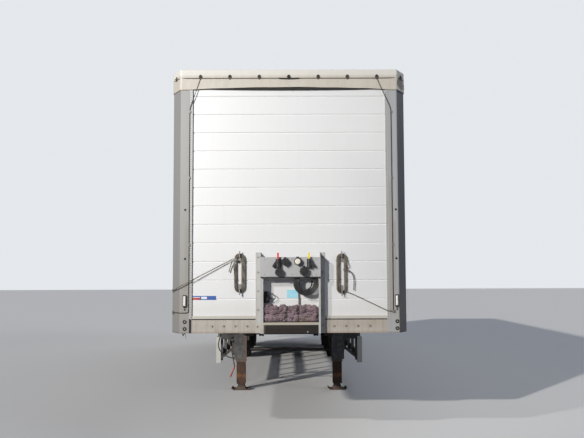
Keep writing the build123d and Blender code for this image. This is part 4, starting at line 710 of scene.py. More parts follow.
# Ropes: limp 10 mm three-strand fibre, grey-brown with dark ends, tight from pillar to hank.
# Each hank lies in two layers round two hooks, and its end is wrapped round one side and hangs free.
rope_thick = 0.010
hank_wide = 0.118
hank_bundle = 0.032
hank_y = front_y - 0.001
# columns: from the bundle's middle outwards, towards the camera
hank_lanes = [(-0.019, 0.004), (-0.006, 0.005), (0.008, 0.004), (-0.013, -0.005), (0.000, -0.004), (0.010, -0.005)]
# columns: angle round the hook, which hook (1 upper, -1 lower), shift up or down from its middle
turn_places = [(180 - 30 * k, 1, 0) for k in range(7)]
turn_places += [(0, 1, -0.026), (0, -1, 0.026)]
turn_places += [(-30 * k, -1, 0) for k in range(7)]
turn_places += [(180, -1, 0.026), (180, 1, -0.026)]


def lane_at(lanes, turn, hold):
    """A turn's place between two lanes: it keeps to one for a share of the turn, and then crosses."""
    turn = min(turn, len(lanes) - 1.001)
    share = max(0.0, turn % 1 - hold) / (1 - hold)
    return Vector(lanes[int(turn)]).lerp(Vector(lanes[int(turn) + 1]), share)


def hank_turns(label, first, last):
    """The turns of a hank round two hooks, clockwise seen from the front, as a list of points."""
    low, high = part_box(f"rope_hank_{label}")
    middle_x = low.x + hank_wide / 2
    middle_z = (high.z + low.z) / 2
    reach = (high.z - low.z - hank_wide) / 2
    points = []
    for k in range(first, last + 1):
        degrees, hook, shift = turn_places[k % len(turn_places)]
        angle = math.radians(degrees)
        out, near = lane_at(hank_lanes, (k - first) / len(turn_places), 0.6)
        slack = 0.003 * noise.noise((middle_x * 7, k * 0.10, 0.3))
        radius = hank_wide / 2 - hank_bundle / 2 + out
        x = middle_x + (radius + slack) * math.cos(angle)
        z = middle_z + hook * reach + shift + radius * math.sin(angle)
        points.append((x, hank_y + near + 0.4 * slack, z))
    return points


def wrap_turns(middle_x, z, rise, way):
    """The rope's end wound twice round one side of its hank, from its outer side to the front."""
    points = []
    steps = 23
    for k in range(steps + 1):
        angle = math.radians(-20 + 670 * k / steps)
        x = middle_x + way * (0.0230 * math.cos(angle) - 0.0020)
        y = hank_y - 0.0110 + 0.0215 * math.sin(angle)
        entry = math.copysign(0.030 * max(0.0, 1 - k / 4) ** 2, rise)
        points.append((x, y, z + rise * k / steps - entry))
    return points


rope_fibre = coated("rope_fibre", (0.215, 0.185, 0.145), (0.075, 0.060, 0.048), 0.55, 0.1, 26, 0.9, grain=900, bump=0.6)
for low_x in (-0.60, 0.49):
    tint(rope_fibre, (low_x, -7, 1.55), (low_x + 0.135, -6.5, 1.645), (0.030, 0.026, 0.024), 0.05, 0.75)
tint(rope_fibre, (-0.612, -7, 1.885), (-0.560, -6.5, 1.955), (0.42, 0.40, 0.36), 0.006, 0.8)
# The strands are a wave that winds round the rope as it runs along it.
strand_turns = 210
tree = rope_fibre.node_tree
place = add_node(tree, "ShaderNodeTexCoord", "UV", {})
parts = add_node(tree, "ShaderNodeSeparateXYZ", None, {"Vector": place})
along = calculate(tree, "MULTIPLY", parts["X"], strand_turns * 2 * math.pi)
wave = calculate(tree, "SINE", calculate(tree, "MULTIPLY_ADD", parts["Y"], 3 * 2 * math.pi, along))
fibre = shader_of(rope_fibre)["Normal"].links[0].from_socket
strands = {"Strength": 0.7, "Distance": 0.003, "Height": wave, "Normal": fibre}
feed(shader_of(rope_fibre), {"Normal": add_node(tree, "ShaderNodeBump", "Normal", strands)})

left_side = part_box("rope_hank_left")[0].x + hank_bundle / 2
left_points = from_face(
    front_y, (-1.2497, 0.1254, 1.606), (-1.2000, 0.0055, 1.6325), (-1.1860, -0.0280, 1.6400), (-1.134, -0.026, 1.668),
    (-0.652, -0.008, 1.916), (-0.596, -0.005, 1.9435), (-0.5625, 0.001, 1.9580))
left_points += hank_turns("left", 2, 106)
left_points += from_face(hank_y, (left_side - 0.012, -0.011, 1.800), (left_side - 0.019, -0.0175, 1.856))
left_points += wrap_turns(left_side, 1.910, 0.022, -1)
left_points += from_face(
    front_y, (-0.600, -0.0270, 1.930), (-0.614, -0.0150, 1.908), (-0.625, -0.0075, 1.873), (-0.636, -0.0050, 1.838),
    (-0.645, -0.0050, 1.803))
rope_left = lay_cord("rope_left", left_points, rope_thick, None, "rope_run_left", "rope_hank_left")

right_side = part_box("rope_hank_right")[0].x + hank_wide - hank_bundle / 2
right_points = from_face(
    front_y, (1.0917, -0.010, 1.384), (1.0497, -0.012, 1.385), (0.995, -0.0115, 1.411), (0.680, -0.006, 1.563),
    (0.610, -0.003, 1.5895), (0.5645, 0.0025, 1.5985))
right_points += hank_turns("right", 13, 115)
right_points += from_face(hank_y, (right_side + 0.015, -0.0150, 1.886))
right_points += wrap_turns(right_side, 1.838, -0.022, 1)
right_points += from_face(
    front_y, (0.6285, -0.0270, 1.814), (0.6480, -0.0150, 1.806), (0.6735, -0.0065, 1.776), (0.6855, -0.0050, 1.735),
    (0.6885, -0.0050, 1.690), (0.6865, -0.0045, 1.646), (0.6825, -0.0050, 1.606))
rope_right = lay_cord("rope_right", right_points, rope_thick, None, "rope_run_right", "rope_hank_right")


# Spare cable: 12 mm black cable from one gland to another behind the panel, coiled on a peg.
# Its turns lie five across and three deep, with a slack one that crosses the coil's opening.
coil_low, coil_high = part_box("cable_coil")
coil_thick = 0.012
coil_x = (coil_low.x + coil_high.x) / 2
coil_z = (coil_low.z + coil_high.z) / 2
coil_out = (coil_high.x - coil_low.x) / 2
panel_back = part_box("connection_bracket")[0].y + 0.006
gland_y = panel_back + 0.0105
coil_exit = (coil_x - 0.062, gland_y, 1.885)
coil_points = [
    coil_exit,
    (coil_x - 0.066, gland_y, 1.848),
    (coil_x - 0.081, gland_y + 0.001, 1.809),
    (coil_x - 0.105, gland_y + 0.006, 1.770),
]
coil_steps = 16
coil_count = 218
# columns: turn's distance from the coil's rim, depth in the coil, both in cable widths
coil_lanes = [
    (0, 0), (1, 0), (2, 0), (3, 0), (4, 0), (3.6, 1), (2.5, 1), (1.5, 1), (0.4, 1),
    (0, 2), (1, 2), (2, 2), (3, 2), (4, 2),
]
for k in range(coil_count):
    angle = math.radians(165) + 2 * math.pi * k / coil_steps
    turn = min(k / coil_steps, len(coil_lanes) - 1.001)
    lane, row = lane_at(coil_lanes, turn, 0.5)
    leaving = max(0.0, k - (coil_count - 8)) / 7
    radius = coil_out - coil_thick * (0.5 + lane) + 0.0025 * noise.noise((turn * 0.9, 0.4, 2.0)) - 0.026 * leaving
    if 5.2 < turn < 6.0:
        radius -= 0.026 * math.sin(math.pi * (turn - 5.2) / 0.8)
    y = coil_low.y + coil_thick * (0.5 + row)
    y += (gland_y + 0.003 - y) * leaving
    coil_points.append((coil_x + radius * math.cos(angle), y, coil_z + radius * math.sin(angle)))
coil_points += [
    (coil_x + 0.0535, gland_y, 1.740),
    (coil_x + 0.0545, gland_y, 1.810),
    (coil_x + 0.055, gland_y, 1.885),
]
glands = bmesh.new()
for x in (coil_x - 0.062, coil_x + 0.055):
    rod_into(glands, (x, gland_y, 1.882), (x, gland_y, 1.900), 0.0095, 6)
    rod_into(glands, (x, gland_y, 1.898), (x, gland_y, 1.922), 0.0082, 20)
    box_into(glands, (x - 0.007, panel_back - 0.001, 1.902), (x + 0.007, gland_y, 1.918))
finish_piece("cable_glands", glands, [black_plastic_and_shade])
cable_sheath = coated("cable_sheath", (0.020, 0.020, 0.022), (0.095, 0.085, 0.075), 0.35, 0.1, 22, 0.42,
                      grain=500, bump=0.2)
cable = lay_cord("spare_cable", coil_points, coil_thick, None, "cable_coil")


# Rolled tarpaulin: an old mauve cover folded and stuffed on the bracket's shelf, tied twice.
# It is one soft form, pressed flat below, creased along its middle and crumpled between the ties.
roll_low, roll_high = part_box("tarp_bundle")
roll_middle = (roll_low + roll_high) / 2
roll_ties = (-0.030, 0.098)


def roll_point(x, angle):
    """A place on the roll's surface, with its folds. Angle runs round its section."""
    half_deep = (roll_high.y - roll_low.y) / 2 - 0.003
    half_high = (roll_high.z - roll_low.z) / 2 - 0.004
    end = min(x - roll_low.x, roll_high.x - x)
    round_end = min(1.0, max(0.0, end) / 0.035) ** 0.42
    c = math.cos(angle)
    s = math.sin(angle)
    y = math.copysign(abs(c) ** 0.62, c) * half_deep
    z = math.copysign(abs(s) ** 0.66, s) * half_high
    if s > 0:
        z *= 1 - 0.20 * max(0.0, noise.noise((x * 8.5, 0.7, 3.0))) - 0.05 * max(0.0, noise.noise((x * 19, 1.7, 5.0)))
    squeeze = sum(0.19 * math.exp(-((x - tie - 0.006 * s) / 0.018) ** 2) for tie in roll_ties)
    crease_z = -0.014 + 0.030 * noise.noise((x * 7.5, 4.0, 1.0)) + 0.05 * (x - 0.02)
    upper_z = crease_z + 0.052 + 0.03 * noise.noise((x * 9, 8.0, 2.0))
    crease = 0.019 * math.exp(-((z - crease_z) / 0.0100) ** 2) + 0.008 * math.exp(-((z - upper_z) / 0.006) ** 2)
    bend_x = x + 0.018 * noise.noise((x * 11, z * 13, 7.0))
    fold = abs(noise.noise((bend_x * 10 + z * 17, z * 19 - x * 8, y * 7 + 2.0)))
    small_fold = abs(noise.noise((bend_x * 24 + z * 30, z * 34 - x * 17, y * 12 + 5.0)))
    lumps = noise.noise((x * 14, z * 17 + 3.0, y * 12))
    inset = 1.35 * crease + 0.018 * max(0.0, lumps)
    inset += 0.0250 * (1 - min(1.0, fold * 3.4)) ** 2 + 0.0080 * (1 - min(1.0, small_fold * 4.0)) ** 2
    if s < -0.86:
        inset *= 0.15
    shrink = max(0.05, round_end * (1 - squeeze) - inset / 0.062)
    shrink_z = shrink
    if s < -0.6:
        keep = min(1.0, (-s - 0.6) / 0.3)
        shrink_z = shrink * (1 - keep) + keep * max(shrink, round_end ** 0.5)
    return Vector((x, roll_middle.y + y * shrink, roll_middle.z + z * shrink_z))


roll_steps = 260
roll_round = 128
roll_rings = []
for i in range(roll_steps + 1):
    x = roll_low.x + (roll_high.x - roll_low.x) * i / roll_steps
    roll_rings.append([roll_point(x, 2 * math.pi * j / roll_round) for j in range(roll_round)])
roll = bmesh.new()
skin(roll, roll_rings, closed=True, ends=True)
roll_cloth = coated("roll_cloth", (0.205, 0.142, 0.163), (0.046, 0.032, 0.034), 0.80, 0.1, 9, 0.62,
                    grain=1100, bump=0.5)
tint(roll_cloth, (0.02, -7, 1.2), (0.25, -6.5, 1.345), (0.16, 0.125, 0.085), 0.05, 0.6, 0.2)
tint(roll_cloth, (-0.4, -7, 1.2), (0.4, -6.5, 1.292), (0.05, 0.035, 0.03), 0.02, 0.7)
roll_piece = finish_piece("rolled_tarpaulin", roll, [roll_cloth], replaced=["tarp_bundle"])

tie_web = coated("tie_web", (0.035, 0.030, 0.028), (0.12, 0.09, 0.07), 0.4, 0.1, 30, 0.85, grain=1200, bump=0.5)
ties = bmesh.new()
for tie in roll_ties:
    bands = []
    for j in range(72):
        angle = 2 * math.pi * j / 72
        tie_x = tie + 0.006 * math.sin(angle)
        loop = []
        for step, lift in ((-0.0075, 0.0003), (-0.0075, 0.0022), (0.0075, 0.0022), (0.0075, 0.0003)):
            spot = roll_point(tie_x + step * 0.5, angle)
            place = spot + (spot - Vector((spot.x, roll_middle.y, roll_middle.z))).normalized() * lift
            loop.append((tie_x + step, place.y, max(place.z, roll_low.z + 0.0002)))
        bands.append(loop)
    skin(ties, bands, closed=True, looped=True, smooth=False)
finish_piece("roll_ties", ties, [tie_web])


# Hanging strap: a free end of brown webbing that hangs down the wall over the roll.
# It is woven polyester, 19 mm wide, and curves a little as it falls.
strap_web = coated("strap_web", (0.13, 0.105, 0.085), (0.06, 0.05, 0.04), 0.4, 0.2, 30, 0.85, grain=1200, bump=0.5)
strap_rows = []
for k in range(25):
    x = 0.103 + 0.0015 * math.sin(k * 0.4)
    y = front_y + 0.0130 - 0.0105 * (k / 24) ** 2
    z = 1.690 - 0.236 * k / 24
    sway = 0.00044 * math.sin(k * 0.55)
    corners = ((-0.0095, sway), (0.0095, 0), (0.0095, -0.0018), (-0.0095, sway - 0.0018))
    strap_rows.append([(x + across, y + depth, z) for across, depth in corners])
strap = bmesh.new()
skin(strap, strap_rows, closed=True, ends=True, smooth=False)
finish_piece("hanging_strap", strap, [strap_web])


# Roof tarpaulin: one light PVC sheet over the bows, a little slack between them, hemmed at its sides.
# Its folded side hems carry a welded seam.
roof_low, roof_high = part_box("roof_tarp")
bow_low, bow_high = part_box("roof_bows")
bow_step = (bow_high.y - bow_low.y - 0.040) / 13
roof_edge = roof_high.x - 0.0012
roof_spans = 168
roof_rows = []
for i in range(roof_spans + 1):
    y = roof_low.y + (roof_high.y - roof_low.y) * i / roof_spans
    bow_share = ((y - bow_low.y - 0.020) / bow_step) % 1.0
    sag = 0.0105 * math.sin(math.pi * bow_share) ** 2 if bow_low.y < y < bow_high.y else 0.0
    hem = roof_low.z + 0.003 + 0.002 * noise.noise((y * 2.2, 0, 0))
    side = [(roof_edge, hem), (roof_edge, hem + 0.018), (roof_edge, roof_high.z - 0.012),
            (roof_edge - 0.003, roof_high.z - 0.004)]
    section = [(-x, z) for x, z in side]
    for k in range(33):
        x = -roof_edge + 0.010 + (2 * roof_edge - 0.020) * k / 32
        inner = 1 - abs(x / roof_edge) ** 6
        drop = sag * inner + 0.0010 * noise.noise((x * 3.1, y * 2.3, 1.0)) * inner
        section.append((x, roof_high.z - 0.0016 - drop))
    section += reversed(side)
    row = []
    for k, (x, z) in enumerate(section):
        ripple = 0.0008 * noise.noise((y * 3.4, z * 20, x)) if k < 4 or k > 36 else 0.0
        row.append((x + ripple, y, z))
    roof_rows.append(row)
roof = bmesh.new()
skin(roof, roof_rows)
roof_cloth = coated("roof_cloth", (0.60, 0.60, 0.57), (0.33, 0.31, 0.27), 0.35, 0.15, 1.6, 0.42, grain=900, bump=0.25)
roof_piece = finish_piece("roof_tarpaulin", roof, [roof_cloth], replaced=["roof_tarp"])


# Curtains: cream PVC-coated sheets down both sides, drawn by straps from a rail at the top.
# They hang in long shallow ripples, pulled in at each strap, with welded seams and a hem pocket.
curtain_low, curtain_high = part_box("curtains")
strap_low, strap_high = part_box("curtain_straps")
strap_count = 22
strap_pitch = (strap_high.y - strap_low.y - 0.044) / (strap_count - 1)
curtain_spans = 440
curtain_cloth = coated("curtain_cloth", (0.60, 0.585, 0.53), (0.36, 0.32, 0.27), 0.16, 0.35, 1.2, 0.40,
                       grain=900, bump=0.2)
tint(curtain_cloth, (-2, -9, 1.1), (2, 9, 1.75), (0.38, 0.34, 0.28), 0.5, 0.55)
for seam in range(1, 6):
    seam_y = curtain_low.y + (curtain_high.y - curtain_low.y) * seam / 6
    tint(curtain_cloth, (-2, seam_y - 0.025, 1.1), (2, seam_y + 0.025, 4.1), (0.66, 0.645, 0.59), 0.002, 0.5)
for side, label in ((-1, "left"), (1, "right")):
    columns = []
    for i in range(curtain_spans + 1):
        y = curtain_low.y + (curtain_high.y - curtain_low.y) * i / curtain_spans
        pull = 0.5 + 0.5 * math.cos(2 * math.pi * (y - strap_low.y - 0.022) / strap_pitch)
        column = []
        for k in range(37):
            z = curtain_low.z + (curtain_high.z - curtain_low.z) * (k / 36) ** 1.15
            hang = min(1.0, max(0.0, (z - 1.31) / 0.35)) * min(1.0, max(0.0, (3.86 - z) / 0.30))
            wave = 0.5 + 0.5 * noise.noise((y * 1.55, z * 0.32, side * 5.0))
            bow = 0.0050 * hang * wave + 0.0018 * hang * noise.noise((y * 4.6, z * 0.8, side * 9.0))
            bow += 0.0024 * pull * math.exp(-((z - 1.40) / 0.22) ** 2) * max(hang, 0.35)
            hem_wave = 0.0012 * (1 - pull) * max(0.0, 1 - (z - curtain_low.z) / 0.10)
            out = curtain_high.x - 0.0016 - max(-0.0006, bow) + hem_wave
            column.append((side * out, y, z + (0.005 * (1 - pull) if k == 0 else 0.0)))
        columns.append(column)
    curtain = bmesh.new()
    skin(curtain, columns)
    curtain = finish_piece(f"curtain_{label}", curtain, [curtain_cloth], replaced=["curtains"])


# Curtain straps: 44 mm grey webbing from each curtain to the side rail, with an over-centre buckle.
# The webbing is sewn to the curtain in a box stitch, and its hook grips the rail's lower lip.
web_grey = coated("web_grey", (0.11, 0.11, 0.112), (0.30, 0.27, 0.23), 0.35, 0.2, 14, 0.8, grain=1400, bump=0.5)
buckle_steel = coated("buckle_steel", (0.42, 0.42, 0.41), (0.22, 0.18, 0.14), 0.4, 0.2, 25, 0.4, 0.85)
web_half = 0.0205
face_x = curtain_high.x + 0.0012
buckle_out = strap_high.x - 0.0008
# columns: place across, level
web_profile = [(face_x, 1.443), (face_x, 1.395), (1.2672, 1.372), (1.2690, 1.345), (1.2690, 1.300),
               (1.2675, 1.255), (1.2665, 1.190), (1.2660, 1.150)]
# columns: from and to across, from and to along the curtain, from and to in height
buckle_boxes = [
    (1.2680, buckle_out, -0.0215, -0.0165, 1.296, 1.352),
    (1.2680, buckle_out, 0.0165, 0.0215, 1.296, 1.352),
    (1.2712, buckle_out, -0.0145, 0.0145, 1.262, 1.330),
    (1.2650, 1.2700, -0.016, 0.016, 1.142, 1.170),
    (1.2330, 1.2700, -0.016, 0.016, 1.1525, 1.1565),
    (1.2330, 1.2300, -0.016, 0.016, 1.1525, 1.1595),
]
straps = bmesh.new()
for side in (-1, 1):
    for i in range(strap_count):
        y = strap_low.y + 0.022 + strap_pitch * i
        rows = []
        for x, z in web_profile:
            lean = 0.0015 * noise.noise((y * 3, z * 6, side))
            corners = ((x - 0.0018, -web_half), (x, -web_half), (x, web_half), (x - 0.0018, web_half))
            rows.append([(side * corner, y + along + lean, z) for corner, along in corners])
        skin(straps, rows, closed=True, ends=True, smooth=False)
        for x0, x1, y0, y1, z0, z1 in buckle_boxes:
            box_into(straps, (side * x0, y + y0, z0), (side * x1, y + y1, z1), 1)
        for z in (1.299, 1.322, 1.349):
            rod_into(straps, (side * 1.2702, y - 0.019, z), (side * 1.2702, y + 0.019, z), 0.0024, 10, 1)
finish_piece("curtain_fastenings", straps, [web_grey, buckle_steel], replaced=["curtain_straps"])


# Marker lamps on the pillars: a white ribbed lens in a dark moulded frame.
# The frame is screwed to the pillar at both ends.
lamp_frame = coated("lamp_frame", (0.030, 0.030, 0.032), (0.12, 0.11, 0.10), 0.2, 0.1, 20, 0.5)
lens_clear = coated("lens_clear", (0.80, 0.79, 0.75), (0.5, 0.47, 0.4), 0.2, 0.1, 14, 0.15)
rib_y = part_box("marker_lamps")[0].y - 0.0002
ribs = bmesh.new()
for x in pillar_middles:
    tint(lamp_frame, (x - 0.0145, -7, 1.446), (x + 0.0095, -6.5, 1.549), (0.78, 0.77, 0.73), 0.0015, 1.0)
    for k in range(11):
        z = 1.4535 + 0.0088 * k
        rod_into(ribs, (x - 0.0140, rib_y, z), (x + 0.0090, rib_y, z), 0.0026, 10)
paint(lamp_frame, "marker_lamps")
finish_piece("lamp_ribs", ribs, [lens_clear])


# Rope hooks, clips and eyes: small forged and bent fittings in dull zinc, dirty where ropes rub.
# They stand on the wall and on the pillars, where the ropes and cables need them.
paint(coated("hook_zinc", (0.33, 0.325, 0.31), (0.14, 0.11, 0.08), 0.6, 0.2, 40, 0.45, 0.7), "rope_hooks")


# Roof cables and leg hose: two thin dark steel cables pulled tight down the pillars, and a hose.
# The hose hangs free from the frame to the left leg's gearbox.
cable_steel = coated("cable_steel", (0.045, 0.043, 0.040), (0.12, 0.10, 0.08), 0.4, 0.1, 60, 0.5, 0.6)
hose_rubber = coated("hose_rubber", (0.020, 0.020, 0.021), (0.13, 0.11, 0.09), 0.45, 0.1, 30, 0.6)
left_cable = from_face(
    front_y,
    (-0.956, -0.0096, 3.900), (-1.002, -0.0098, 3.765), (-1.058, -0.0075, 3.610), (-1.071, -0.0065, 3.560),
    (-1.072, -0.0062, 3.490), (-1.072, -0.0062, 1.430), (-1.073, -0.0062, 1.385), (-1.082, -0.0060, 1.372),
    (-1.120, -0.0055, 1.371), (-1.162, -0.0062, 1.371), (-1.176, 0.0005, 1.371), (-1.2462, 0.1288, 1.371),
)
right_cable = from_face(
    front_y,
    (0.956, -0.0096, 3.900), (1.014, -0.0098, 3.765), (1.086, -0.0075, 3.612), (1.102, -0.0065, 3.560),
    (1.104, -0.0062, 3.490), (1.104, -0.0062, 1.440), (1.104, -0.0060, 1.3983),
)
lay_cord("roof_cable_left", left_cable, 0.008, cable_steel, "pillar_cables")
lay_cord("roof_cable_right", right_cable, 0.008, cable_steel, "pillar_cables")
leg_y = (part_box("landing_feet")[0].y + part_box("landing_feet")[1].y) / 2
hose_points = from_face(
    leg_y,
    (-1.000, -0.379, 1.1942), (-1.001, -0.366, 1.140), (-1.003, -0.352, 1.085), (-1.018, -0.275, 0.985),
    (-1.045, -0.175, 0.893), (-1.080, -0.092, 0.798), (-1.106, -0.046, 0.708), (-1.097, -0.028, 0.622),
    (-1.050, -0.034, 0.560), (-0.984, -0.057, 0.520), (-0.915, -0.084, 0.4905), (-0.8553, -0.084, 0.490),
)
hose = lay_cord("leg_hose", hose_points, 0.016, hose_rubber, "pillar_cables")


# Landing legs: welded box legs in dark chassis paint, with a warmer rusty edge and bolted heads.
# The inner legs and rocking feet are bare rusty steel, and the crank has a red grip.
leg_paint = coated("leg_paint", (0.060, 0.063, 0.070), (0.20, 0.185, 0.165), 0.65, 0.6, 19, 0.55, grain=110, bump=0.4)
tint(leg_paint, (-0.715, -4, 0.4), (-0.62, -2, 1.2), (0.17, 0.12, 0.085), 0.03, 0.6)
tint(leg_paint, (-1, -4, 0.4), (1, -2, 0.50), (0.12, 0.075, 0.05), 0.05, 0.6)
paint(leg_paint, "landing_legs")
foot_rust = coated("foot_rust", (0.085, 0.047, 0.030), (0.024, 0.017, 0.014), 0.75, 0.5, 15, 0.85, grain=90, bump=0.5)
tint(foot_rust, (-1, -4, -0.1), (1, -2, 0.09), (0.17, 0.145, 0.12), 0.05, 0.5, 0.1)
tint(foot_rust, (-1, -4, 0.16), (1, -2, 0.27), (0.27, 0.10, 0.035), 0.04, 0.6, 0.12)
paint(foot_rust, "landing_feet")
crank_steel = coated("crank_steel", (0.075, 0.070, 0.066), (0.14, 0.09, 0.06), 0.6, 0.2, 14, 0.5, 0.4)
tint(crank_steel, (-0.96, -4, 0.19), (-0.832, -2, 0.365), (0.42, 0.035, 0.025), 0.01, 0.95)
paint(crank_steel, "landing_crank")
leg_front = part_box("landing_legs")[0].y
leg_bits = bmesh.new()
for leg_x in (-0.750, 0.750):
    for z in (1.085, 1.015, 0.945):
        for x in (leg_x - 0.055, leg_x + 0.055):
            bolt_into(leg_bits, x, leg_front + 0.0002, z, 0.008)
    plug_x = leg_x - 0.045
    rod_into(leg_bits, (plug_x, leg_front + 0.001, 0.880), (plug_x, leg_front - 0.001, 0.880), 0.011, 16)
finish_piece("leg_bolts", leg_bits, [dark_steel])


# Side guards: black frames with aluminium rails and white end plates that face forwards.
# The plates are scuffed and dusty.
guard_alu = coated("guard_alu", (0.13, 0.13, 0.128), (0.20, 0.17, 0.14), 0.35, 0.25, 5, 0.42, 0.4, grain=200)
guard_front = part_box("side_guards")[0].y
# columns: front and back of the zone, its top, colour, soft edge
for front, back, top, color, soft in (
    (0.0062, 0.14, 1.25, (0.040, 0.040, 0.042), 0.004),
    (-0.01, 0.0064, 0.81, (0.66, 0.65, 0.62), 0.0003),
):
    tint(guard_alu, (-1.16, guard_front + front, 0.39), (1.16, guard_front + back, top), color, soft, 1.0)
paint(guard_alu, "side_guards")


# Wheels: silver disc wheels with ten nuts, and ribbed road tyres with their blocks cut across.
# Dust and brake dirt gather on both.
def on_wheels(name, data, left_turn=0.0):
    """Puts one mesh on all six wheels, turned about on the left ones if wanted."""
    pieces = {}
    for wheel in (f"{axle}_{side}" for axle in (1, 2, 3) for side in ("left", "right")):
        low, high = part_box(f"tyre_{wheel}")
        pieces[wheel] = new_object(f"{name}_{wheel}", data)
        pieces[wheel].location = (low + high) / 2
        pieces[wheel].rotation_euler.z = left_turn if "left" in wheel else 0.0
        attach(pieces[wheel], f"wheel_{wheel}")
    return pieces


rim_silver = coated("rim_silver", (0.50, 0.50, 0.49), (0.17, 0.13, 0.10), 0.5, 0.25, 7, 0.42, 0.55, grain=240)
tyre_black = coated("tyre_black", (0.020, 0.020, 0.0205), (0.13, 0.115, 0.095), 0.45, 0.1, 6, 0.82, grain=220, bump=0.4)
tyre_low, tyre_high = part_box("tyre_1_right")
tyre_radius = (tyre_high.z - tyre_low.z) / 2
tyre_half = (tyre_high.x - tyre_low.x) / 2
# columns: share of half the width, radius below the tread
tyre_profile = [
    (0.735, 0.250), (0.800, 0.236), (0.880, 0.200), (0.955, 0.150), (0.992, 0.105), (0.994, 0.080), (0.982, 0.062),
    (0.962, 0.045), (0.955, 0.036), (0.945, 0.030), (0.925, 0.016), (0.890, 0.006), (0.860, 0.002), (0.640, 0.000),
    (0.622, 0.002), (0.612, 0.013), (0.572, 0.013), (0.560, 0.002), (0.545, 0.000), (0.325, 0.000), (0.310, 0.002),
    (0.300, 0.013), (0.262, 0.013), (0.250, 0.002), (0.238, 0.000), (0.050, 0.000), (0.038, 0.002), (0.026, 0.013),
]
tyre_profile += [(-share, down) for share, down in reversed(tyre_profile)]
tyre_steps = 240
tyre_loops = []
for i in range(tyre_steps):
    angle = 2 * math.pi * i / tyre_steps
    loop = []
    for share, down in tyre_profile:
        groove = 0.0065 if i % 4 == 0 and 0.63 < abs(share) < 0.93 else 0.0
        zigzag = 0.004 * (1 if (i // 4) % 2 else -1) if 0.02 < abs(share) < 0.62 else 0.0
        radius = tyre_radius - down - groove
        loop.append((share * tyre_half + zigzag, radius * math.sin(angle), radius * math.cos(angle)))
    tyre_loops.append(loop)
tyre = bmesh.new()
skin(tyre, tyre_loops, looped=True)
for face in tyre.faces:
    face.smooth = all(abs(vert.co.x) > 0.93 * tyre_half for vert in face.verts)
for wheel, piece in on_wheels("road_tyre", finish_mesh("road_tyre", tyre, [tyre_black])).items():
    paint(rim_silver, f"rim_{wheel}")
    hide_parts(f"tyre_{wheel}")

nut_steel = coated("nut_steel", (0.22, 0.21, 0.20), (0.12, 0.08, 0.05), 0.5, 0.1, 40, 0.4, 0.8)
wheel_bits = bmesh.new()
# columns: how many, offset in steps, radius of their circle, then from, to, radius and sides of each
for count, offset, circle, start, end, radius, sides in (
    (10, 0, 0.1345, 0.094, 0.1115, 0.0165, 20),
    (10, 0, 0.1345, 0.1115, 0.1300, 0.0138, 6),
    (10, 0, 0.1345, 0.1300, 0.1385, 0.0085, 14),
    (6, 0.5, 0.052, 0.170, 0.1755, 0.0062, 6),
):
    for k in range(count):
        angle = 2 * math.pi * (k + offset) / count
        v = circle * math.cos(angle)
        w = circle * math.sin(angle)
        rod_into(wheel_bits, (start, v, w), (end, v, w), radius, sides)
ring_into(wheel_bits, (0.160, 0, 0), (1, 0, 0), 0.0770, 0.0036, 40)
rod_into(wheel_bits, (0.070, 0.232, 0.030), (0.125, 0.224, 0.030), 0.0048, 10)
on_wheels("wheel_nuts", finish_mesh("wheel_nuts", wheel_bits, [nut_steel]), math.pi)


# Running gear: cast and forged arms, hangers, axles and brakes in dusty black chassis paint.
# Rubber air springs and dampers stand behind them, and steel air tanks lie between the beams.
def paint_nodes(*rows):
    """Gives nodes their finishes: node, then what coated takes, from its name to its bump."""
    for node, *finish in rows:
        paint(coated(*finish), node)


paint_nodes(
    ("trailing_arms", "arm_paint", (0.040, 0.039, 0.038), (0.17, 0.135, 0.10), 0.6, 0.25, 9, 0.6, 0, 120, 0.4),
    ("spring_hangers", "hanger_paint", (0.047, 0.045, 0.043), (0.18, 0.14, 0.11), 0.5, 0.4, 8, 0.6, 0, 120, 0.3),
    ("axles", "axle_paint", (0.035, 0.034, 0.034), (0.16, 0.11, 0.075), 0.7, 0.2, 8, 0.6, 0, 90, 0.5),
    ("shock_absorbers", "damper_paint", (0.055, 0.055, 0.060), (0.17, 0.14, 0.11), 0.5, 0.2, 12, 0.4, 0, 200),
    ("air_springs", "bellows_rubber", (0.022, 0.022, 0.022), (0.14, 0.12, 0.10), 0.5, 0.15, 9, 0.75, 0, 300, 0.4),
    ("air_tanks", "tank_paint", (0.060, 0.060, 0.062), (0.17, 0.14, 0.11), 0.45, 0.3, 5, 0.35, 0, 240),
)
tank_low, tank_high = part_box("air_tanks")
tank_bits = bmesh.new()
for x in (-0.210, 0.210):
    for y in (tank_low.y + 0.14, tank_high.y - 0.14):
        ring_into(tank_bits, (x, y, tank_low.z + 0.140), (0, 1, 0), 0.1425, 0.0022, 56)
finish_piece("tank_bands", tank_bits, [zinc])


# Chassis: welded beams and cross members in black chassis paint, dusty on their ledges.
# The coupler plate and kingpin are polished by use and greasy.
paint_nodes(
    ("chassis_beams", "beam_paint", (0.040, 0.038, 0.037), (0.16, 0.13, 0.10), 0.5, 0.5, 3.5, 0.55, 0, 150),
    ("cross_members", "cross_paint", (0.046, 0.044, 0.042), (0.17, 0.13, 0.10), 0.6, 0.2, 6, 0.6, 0, 150),
    ("coupler_plate", "plate_steel", (0.11, 0.105, 0.10), (0.05, 0.04, 0.03), 0.6, 0.1, 5, 0.35, 0.7, 120),
    ("kingpin", "pin_steel", (0.36, 0.35, 0.34), (0.05, 0.045, 0.04), 0.5, 0.1, 20, 0.25, 1.0, 220),
)


